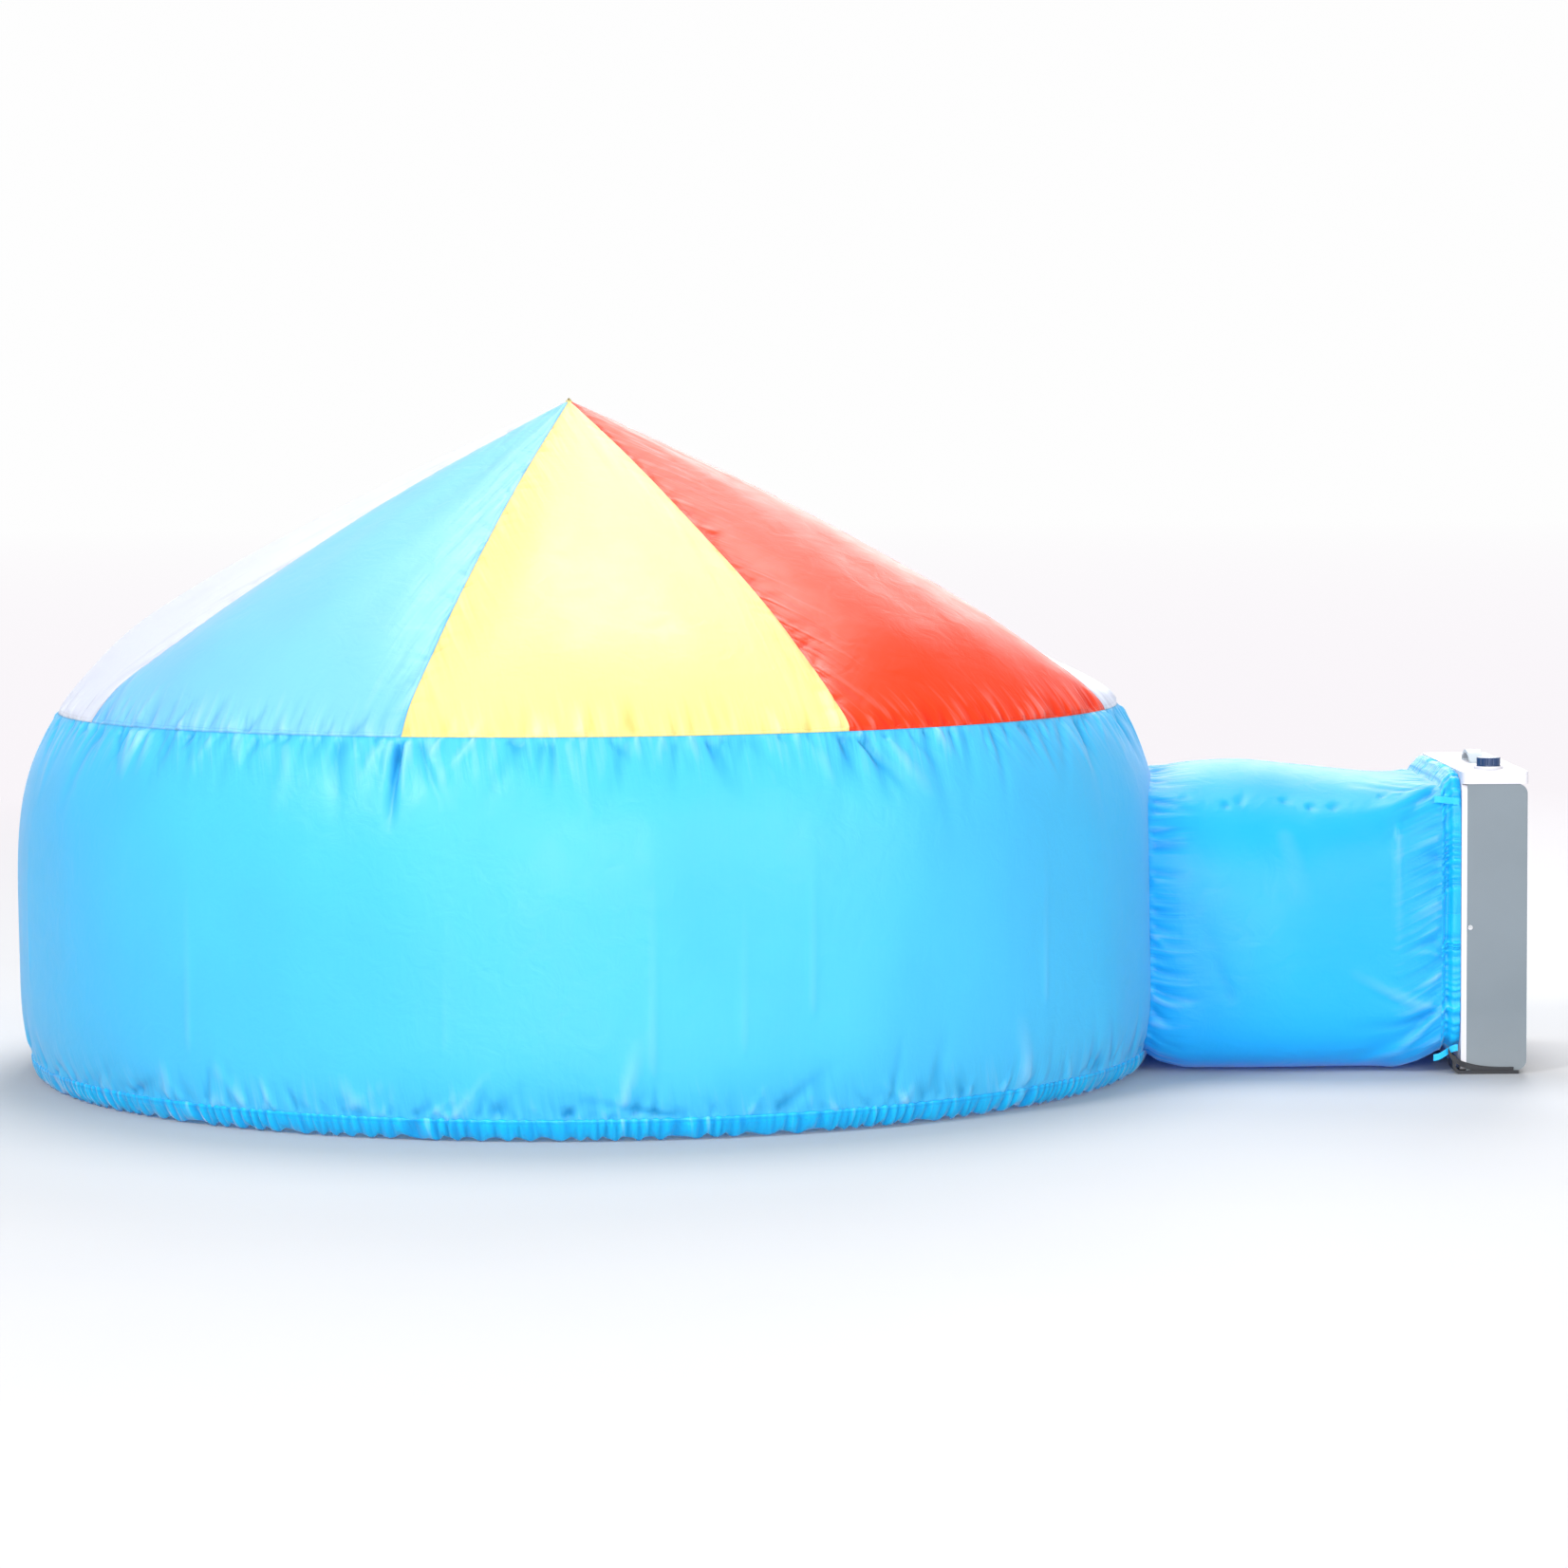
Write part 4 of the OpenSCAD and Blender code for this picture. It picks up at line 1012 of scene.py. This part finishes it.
# ---- Tunnel and collar ----
def squircle(half_w, low, high, angle, power):
    """Rounded box outline at an angle about its middle."""
    flat = 2 / power
    y = half_w * np.sign(np.cos(angle)) * np.abs(np.cos(angle)) ** flat
    z = (low + high) / 2 + (high - low) / 2 * np.sign(np.sin(angle)) * np.abs(np.sin(angle)) ** flat
    return y, z


RING = np.linspace(-math.radians(35), 2 * math.pi - math.radians(35), 1441)


def tunnel_shape(share, angle):
    """Tunnel outline at a share of its length from the dome: crowned top, sagging long edges."""
    half_w = TUNNEL_HALF * track([0, 0.12, 0.5, 0.88, 1], [0.945, 0.985, 1.0, 0.990, 0.945], share)
    low = track([0, 0.06, 0.16, 0.86, 0.93, 1], [0.030, 0.012, 0.0, 0.0, 0.012, 0.034], share, 0.06)
    high = TUNNEL_TOP + track([0, 0.2, 0.5, 0.8, 1], [-0.050, -0.074, -0.086, -0.050, -0.026], share, 0.2)
    crown = TUNNEL_TOP + track([0, 0.15, 0.35, 0.6, 0.85, 1],
                               [-0.012, 0.001, 0.004, -0.006, -0.024, -0.030], share, 0.2)
    y, z = squircle(half_w, low, high, angle, track([0, 0.8, 1], [5.5, 5.5, 9.0], share))
    climb = (z - (low + high) / 2) / ((high - low) / 2)
    crowned = (1 - (y / half_w) ** 2)
    z = z + (crown - high) * crowned * smooth(climb)
    bowed = 0.020 * np.sin(math.pi * np.clip(share, 0, 1)) ** 0.7
    level = np.cos(np.clip(climb, -1, 1) * math.pi / 2)
    y = y + np.sign(y) * bowed * level * smooth(np.abs(y) / half_w / 0.9)
    return y, z


def tunnel_ring(share):
    """Evenly spaced outline points of the tunnel at one place."""
    y, z = tunnel_shape(share, RING)
    run = np.append(0, np.cumsum(np.hypot(np.diff(y), np.diff(z))))
    even = np.linspace(0, run[-1], 1921)[:-1]
    return np.stack([np.interp(even, run, y), np.interp(even, run, z)], 1)


def tunnel_folds():
    """Pleats at both ends. Folds are (round, along, round, along, width, depth) in metres."""
    folds = []
    long = TUNNEL_RUN
    for i in range(END_PLEATS):
        at = TUNNEL_GIRTH * (i + CHANCE.uniform(-0.4, 0.4)) / END_PLEATS
        reach = CHANCE.uniform(0.04, 0.13) * CHANCE.uniform(0.5, 1)
        folds.append((at, 0.0, at + CHANCE.normal(0, 0.012), reach, 0.0075 * CHANCE.uniform(0.7, 1.4),
                      CHANCE.uniform(0.0025, 0.0080) * CHANCE.choice([-1, -1, 1])))
    for i in range(END_PLEATS):
        at = TUNNEL_GIRTH * (i + CHANCE.uniform(-0.4, 0.4)) / END_PLEATS
        reach = CHANCE.uniform(0.03, 0.11) * CHANCE.uniform(0.5, 1)
        folds.append((at, long, at + CHANCE.normal(0, 0.014), long - reach,
                      0.007 * CHANCE.uniform(0.7, 1.4),
                      CHANCE.uniform(0.0020, 0.0065) * CHANCE.choice([-1, -1, 1])))
    corners = [0.46, 1.00, 1.46, 2.02]
    for corner in corners:
        for k in range(-3, 4):
            folds.append((corner, long, corner + 0.045 * k, long - CHANCE.uniform(0.10, 0.20), 0.010,
                          CHANCE.uniform(0.003, 0.008) * CHANCE.choice([-1, 1])))
        for k in range(10 if corner < 1.2 else 0):
            at = long * (k + CHANCE.uniform(0, 1)) / 10
            folds.append((corner + CHANCE.uniform(-0.03, 0.03), at, corner + CHANCE.uniform(-0.06, 0.06),
                          at + CHANCE.uniform(-0.05, 0.05), 0.009, CHANCE.uniform(-0.007, -0.002)))
    for low, high in ((0.05, 0.40), (1.05, 1.42)):
        folds.append((low, long * 0.85, high, long * 0.85, 0.006, 0.0045))
        folds.append((high, long * 0.30, low + 0.1, long * 0.12, 0.016, -0.0025))
        folds.append((low, long * 0.45, high - 0.1, long * 0.60, 0.022, 0.0022))
    return folds


def tunnel_place(share, angle, off=0.0):
    """Points on the blown-up tunnel, off metres outside its cloth."""
    if "tunnel_folds" not in SHARED:
        SHARED["tunnel_folds"] = tunnel_folds()
    y, z = np.empty_like(share), np.empty_like(share)
    out_y, out_z, around = np.empty_like(share), np.empty_like(share), np.empty_like(share)
    for value in np.unique(share):
        row = share == value
        ring_y, ring_z = tunnel_shape(value, RING)
        run = np.append(0, np.cumsum(np.hypot(np.diff(ring_y), np.diff(ring_z))))
        slope_y, slope_z = np.gradient(ring_y, run + RING * 1e-9), np.gradient(ring_z, run + RING * 1e-9)
        size = np.hypot(slope_y, slope_z)
        seams = np.radians([-35, 35, 145, 215, 325])
        seam_run = np.interp(seams, RING, run)
        at = np.interp(angle[row], seams, seam_run)
        y[row], z[row] = np.interp(at, run, ring_y), np.interp(at, run, ring_z)
        out_y[row], out_z[row] = np.interp(at, run, slope_z / size), np.interp(at, run, -slope_y / size)
        around[row] = at * TUNNEL_GIRTH / run[-1]
    wall = AXIS_X + np.sqrt(np.maximum(np.interp(z, CURVE_Z, CURVE_R) ** 2 - y ** 2, 0.01)) - 0.0015
    x = wall + (TUNNEL_END - wall) * share
    along = share * TUNNEL_RUN
    held = smooth(np.minimum(share, 1 - share) / 0.02)
    folded = fold_push(SHARED["tunnel_folds"], around, along, 1.0) * held
    swell = 0.0022 * np.sin(9 * share + 3 * around) * np.sin(5.1 * around + 1) * np.sin(math.pi * share)
    push = off + folded + swell
    return np.stack([x, y + out_y * push, np.maximum(z + out_z * push, 0.0)], 1), around, along, folded


def build_tunnel():
    for name, low, high in TUNNEL_PANELS:
        rows = 110 if high - low > 90 else 84
        piece, share, up = grid_sheet(name + "_cloth", "sky_cloth", 100, rows)
        share = np.round(share, 6)
        angle = math.radians(low) + math.radians(high - low) * up
        place, around, along, folded = tunnel_place(share, angle)
        # Fold depth for the cloth's painted shade in the pleats' valleys and painted highlight on their
        # ridges.
        mark_painted_folds(piece, folded)
        # Painted shade: the panels are made with the sky cloth and then take the deeper tunnel cloth.
        piece.data.materials[0] = finish_named("shaded_tunnel_cloth")
        lay_map(piece.data, "weave", around, along)
        lay_map(piece.data, "seam", along, np.minimum(along, along.max() - along) + 0.004)
        write_points(piece.data, place)
        face_away(piece, Vector(((TUNNEL_START + TUNNEL_END) / 2, 0, TUNNEL_TOP / 2)))
        thicken(piece)
        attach(piece, "tent")
        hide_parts(name)


def collar_ring(name, stations, finish, wave, count=720):
    """A gathered band round the fan's mouth. stations are (x, share from tunnel end to sleeve, lift)."""
    last = len(stations) - 1
    piece, round_share, row = grid_sheet(name, finish, count, last)
    row = np.round(row * last).astype(int)
    turn = 2 * math.pi * round_share - math.pi
    angle = even_angle(turn)
    x, mixed, lift = (np.array([s[k] for s in stations])[row] for k in range(3))
    first_y, first_z = tunnel_shape(1.0, angle)
    sleeve_y, sleeve_z = squircle(COLLAR_HALF, COLLAR_LO, COLLAR_HI, angle, 9.0)
    y, z = first_y + (sleeve_y - first_y) * mixed, first_z + (sleeve_z - first_z) * mixed
    around = turn / (2 * math.pi) * 2.0
    ripple = np.sin(115 * turn + 4 * np.sin(9 * turn) + 2 * np.sin(23 * turn))
    ripple *= 0.7 + 0.4 * np.sin(14 * turn)
    push = lift + wave * ripple * np.sin(math.pi * np.clip(row / last, 0.12, 0.75))
    middle_z = (COLLAR_LO + COLLAR_HI) / 2
    away = np.hypot(y, z - middle_z)
    y, z = y + push * y / away, z + push * (z - middle_z) / away
    x = x + 0.0016 * ripple * np.sin(math.pi * row / last)
    lay_map(piece.data, "weave", around, x)
    lay_map(piece.data, "seam", around, np.abs(x - x.min()) + 0.001)
    write_points(piece.data, np.stack([x, y, z], 1))
    # Painted shade: the offset keeps every point on the valley side, so the cloth's colour is darker over the
    # whole collar, most in the gathers' hollows.
    mark_painted_folds(piece, 0.003 * ripple - 0.004)
    face_away(piece, Vector((x.mean(), 0, middle_z)), 0.00001)
    return piece


def even_angle(turn):
    """Outline angle whose points lie evenly along the collar's outline."""
    fine = np.linspace(-math.pi, math.pi, 2881)
    y, z = squircle(COLLAR_HALF, COLLAR_LO, COLLAR_HI, fine, 9.0)
    run = np.append(0, np.cumsum(np.hypot(np.diff(y), np.diff(z))))
    return np.interp((turn + math.pi) / (2 * math.pi) * run[-1], run, fine)


def build_collar():
    end = TUNNEL_END
    stations = [(end - 0.0005, 0.0, 0), (end + 0.002, 0.10, 0), (end + 0.004, 0.30, -0.001),
                (end + 0.006, 0.60, -0.004), (end + 0.009, 0.85, -0.006), (end + 0.013, 0.97, -0.005),
                (end + 0.017, 1.0, 0.001), (end + 0.020, 1.0, 0.0042), (end + 0.023, 1.0, 0.0050),
                (end + 0.026, 1.0, 0.0050), (end + 0.029, 1.0, 0.0044), (end + 0.032, 1.0, 0.0030),
                (FAN_X - 0.0012, 1.0, 0.0018)]
    collar = collar_ring("fan_collar_cloth", stations, "deep_sky_cloth", 0.0026)
    thicken(collar)
    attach(collar, "tent")
    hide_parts("fan_collar")
    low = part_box("collar_elastic")[0].x
    band_stations = [(low + 0.001, 1, 0.0004), (low + 0.005, 1, 0.0012), (low + 0.009, 1, 0.0004)]
    band = collar_ring("collar_elastic_band", band_stations, "elastic", 0.0)
    thicken(band, 0.0012)
    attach(band, "tent")
    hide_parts("collar_elastic")
    build_ties()


def build_ties():
    """Short ties at the tunnel's corners, and black strips that are painted shadows of the low ties, on the
    floor beside the fan's feet.
    """
    half_w, tall = 0.006, 0.054
    for i, (side, z) in enumerate(((-1, 0.030), (1, 0.030), (-1, 0.500), (1, 0.500))):
        piece, share, up = grid_sheet(f"corner_tie_{i + 1}", "deep_sky_cloth", 24, 5)
        lay_map(piece.data, "seam", share * tall, up + 0.01)
        lay_map(piece.data, "weave", share * tall, up * 2 * half_w)
        x = TUNNEL_END - 0.014 + 0.044 * share
        y = side * (COLLAR_HALF + 0.0055 + 0.003 * np.cos(math.pi * share) * np.sin(math.pi * share))
        slope = (0.018 if z < 0.1 else -0.004) * smooth(share)
        write_points(piece.data, np.stack([x, y, z + slope + (2 * up - 1) * half_w], 1))
        face_away(piece, Vector((FAN_X, 0, z)))
        thicken(piece, 0.0012, 0.0)
        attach(piece, "tent")
    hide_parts("corner_ties")
    # Painted shadows: thin black strips on the floor beside the fan, rising to the collar, where the low
    # ties' shadows fall.
    case_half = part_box("fan_case")[1].y
    x0, x1, x2 = TUNNEL_END + 0.012, TUNNEL_END + 0.020, FAN_X + 0.095
    z0, z1, z2 = 0.046, 0.004, 0.0065
    wide, shadow_strip_length = 0.011, 0.15
    for side, name in ((-1, "near"), (1, "far")):
        piece, share, up = grid_sheet(f"tie_shadow_strip_{name}", "black_plastic", 40, 5)
        early, middle, late = (1 - share) ** 2, 2 * share * (1 - share), share ** 2
        lay_map(piece.data, "weave", share * shadow_strip_length, up * wide)
        x, z = x0 * early + x1 * middle + x2 * late, z0 * early + z1 * middle + z2 * late
        away = case_half + 0.0025 + (COLLAR_HALF + 0.0070 - case_half) * smooth((FAN_X + 0.010 - x) / 0.02)
        write_points(piece.data, np.stack([x, side * away, np.maximum(z + (up - 0.5) * wide, 0.0005)], 1))
        face_away(piece, Vector((FAN_X, 0, 0.02)))
        thicken(piece, 0.0030, 0.0)
        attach(piece, "tent")


# ---- Fan ----
FAN_FINISHES = {
    "fan_case": "grey_steel", "fan_top_cover": "white_plastic", "front_grille": "white_plastic",
    "rear_grille": "white_plastic", "blade_shroud": "bare_steel", "motor_bracket": "bare_steel",
    "motor_front_shell": "bare_steel", "motor_rear_shell": "bare_steel", "motor_stator": "copper_winding",
    "motor_bearings": "bearing_bronze", "motor_rotor": "bare_steel", "motor_shaft": "bare_steel",
    "fan_blade": "pale_plastic", "blade_lock_nut": "black_plastic", "rotary_switch": "black_plastic",
    "dial_ring": "white_plastic", "speed_knob": "navy_plastic", "run_capacitor": "black_plastic",
    "carry_handle": "grey_plastic", "fan_foot_near": "black_plastic", "fan_foot_far": "black_plastic",
    "case_screws": "bare_steel", "cord_gland": "black_plastic",
}


def build_fan():
    for name, finish in FAN_FINISHES.items():
        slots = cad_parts[name].material_slots
        if not slots:
            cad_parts[name].data.materials.append(finish_named(finish))
        for held in slots:
            held.material = finish_named(finish)


# ---- Operators and panel ----
class TENT_OT_stage(bpy.types.Operator):
    """Pale floor, soft studio light and the camera"""
    bl_idname = "tent.stage"
    bl_label = "Stage"

    def execute(self, context):
        build_stage()
        return {"FINISHED"}


class TENT_OT_gores(bpy.types.Operator):
    """The roof's eight gores, pillowed between their seams"""
    bl_idname = "tent.gores"
    bl_label = "Roof gores"

    def execute(self, context):
        build_gores()
        return {"FINISHED"}


class TENT_OT_seam_tapes(bpy.types.Operator):
    """Tapes on the inside of the roof and wall seams"""
    bl_idname = "tent.seam_tapes"
    bl_label = "Seam tapes"

    def execute(self, context):
        build_seam_tapes()
        return {"FINISHED"}


class TENT_OT_peak(bpy.types.Operator):
    """Patch under the peak and the cap on it"""
    bl_idname = "tent.peak"
    bl_label = "Peak"

    def execute(self, context):
        build_peak()
        return {"FINISHED"}


class TENT_OT_walls(bpy.types.Operator):
    """The four wall panels with the doorway and the air inlet"""
    bl_idname = "tent.walls"
    bl_label = "Wall panels"

    def execute(self, context):
        build_walls()
        return {"FINISHED"}


class TENT_OT_door(bpy.types.Operator):
    """Door flap, its edging and its fastening tapes"""
    bl_idname = "tent.door"
    bl_label = "Door"

    def execute(self, context):
        build_door()
        return {"FINISHED"}


class TENT_OT_hem(bpy.types.Operator):
    """Ruched casing at the floor and its elastic"""
    bl_idname = "tent.hem"
    bl_label = "Hem"

    def execute(self, context):
        build_hem()
        return {"FINISHED"}


class TENT_OT_tunnel(bpy.types.Operator):
    """The four panels of the fan tunnel"""
    bl_idname = "tent.tunnel"
    bl_label = "Tunnel"

    def execute(self, context):
        build_tunnel()
        return {"FINISHED"}


class TENT_OT_collar(bpy.types.Operator):
    """Gathered collar, its elastic, its ties and the black strips painted as the low ties' shadows"""
    bl_idname = "tent.collar"
    bl_label = "Fan collar"

    def execute(self, context):
        build_collar()
        return {"FINISHED"}


class TENT_OT_fan(bpy.types.Operator):
    """Finishes of the fan's parts"""
    bl_idname = "tent.fan"
    bl_label = "Fan finishes"

    def execute(self, context):
        build_fan()
        return {"FINISHED"}


STEPS = (TENT_OT_stage, TENT_OT_gores, TENT_OT_seam_tapes, TENT_OT_peak, TENT_OT_walls, TENT_OT_door,
         TENT_OT_hem, TENT_OT_tunnel, TENT_OT_collar, TENT_OT_fan)


class TENT_PT_sidebar(bpy.types.Panel):
    bl_idname = "TENT_PT_sidebar"
    bl_label = "Dome Tent"
    bl_space_type = "VIEW_3D"
    bl_region_type = "UI"
    bl_category = "Dome Tent"

    def draw(self, context):
        for group in (context.scene.tent_sizes, context.scene.tent_colours):
            for name in group.__annotations__:
                self.layout.prop(group, name)
        for step in STEPS:
            self.layout.operator(step.bl_idname)


CLASSES = (TentSizes, TentColours, *STEPS, TENT_PT_sidebar)


def register():
    for made in CLASSES:
        bpy.utils.register_class(made)
    bpy.types.Scene.tent_sizes = PointerProperty(type=TentSizes)
    bpy.types.Scene.tent_colours = PointerProperty(type=TentColours)


def unregister():
    del bpy.types.Scene.tent_sizes
    del bpy.types.Scene.tent_colours
    for made in reversed(CLASSES):
        bpy.utils.unregister_class(made)


def main():
    register()
    bpy.ops.tent.stage()
    bpy.ops.tent.gores()
    bpy.ops.tent.seam_tapes()
    bpy.ops.tent.peak()
    bpy.ops.tent.walls()
    bpy.ops.tent.door()
    bpy.ops.tent.hem()
    bpy.ops.tent.tunnel()
    bpy.ops.tent.collar()
    bpy.ops.tent.fan()
    bpy.context.view_layer.update()


if __name__ == "__main__":
    main()
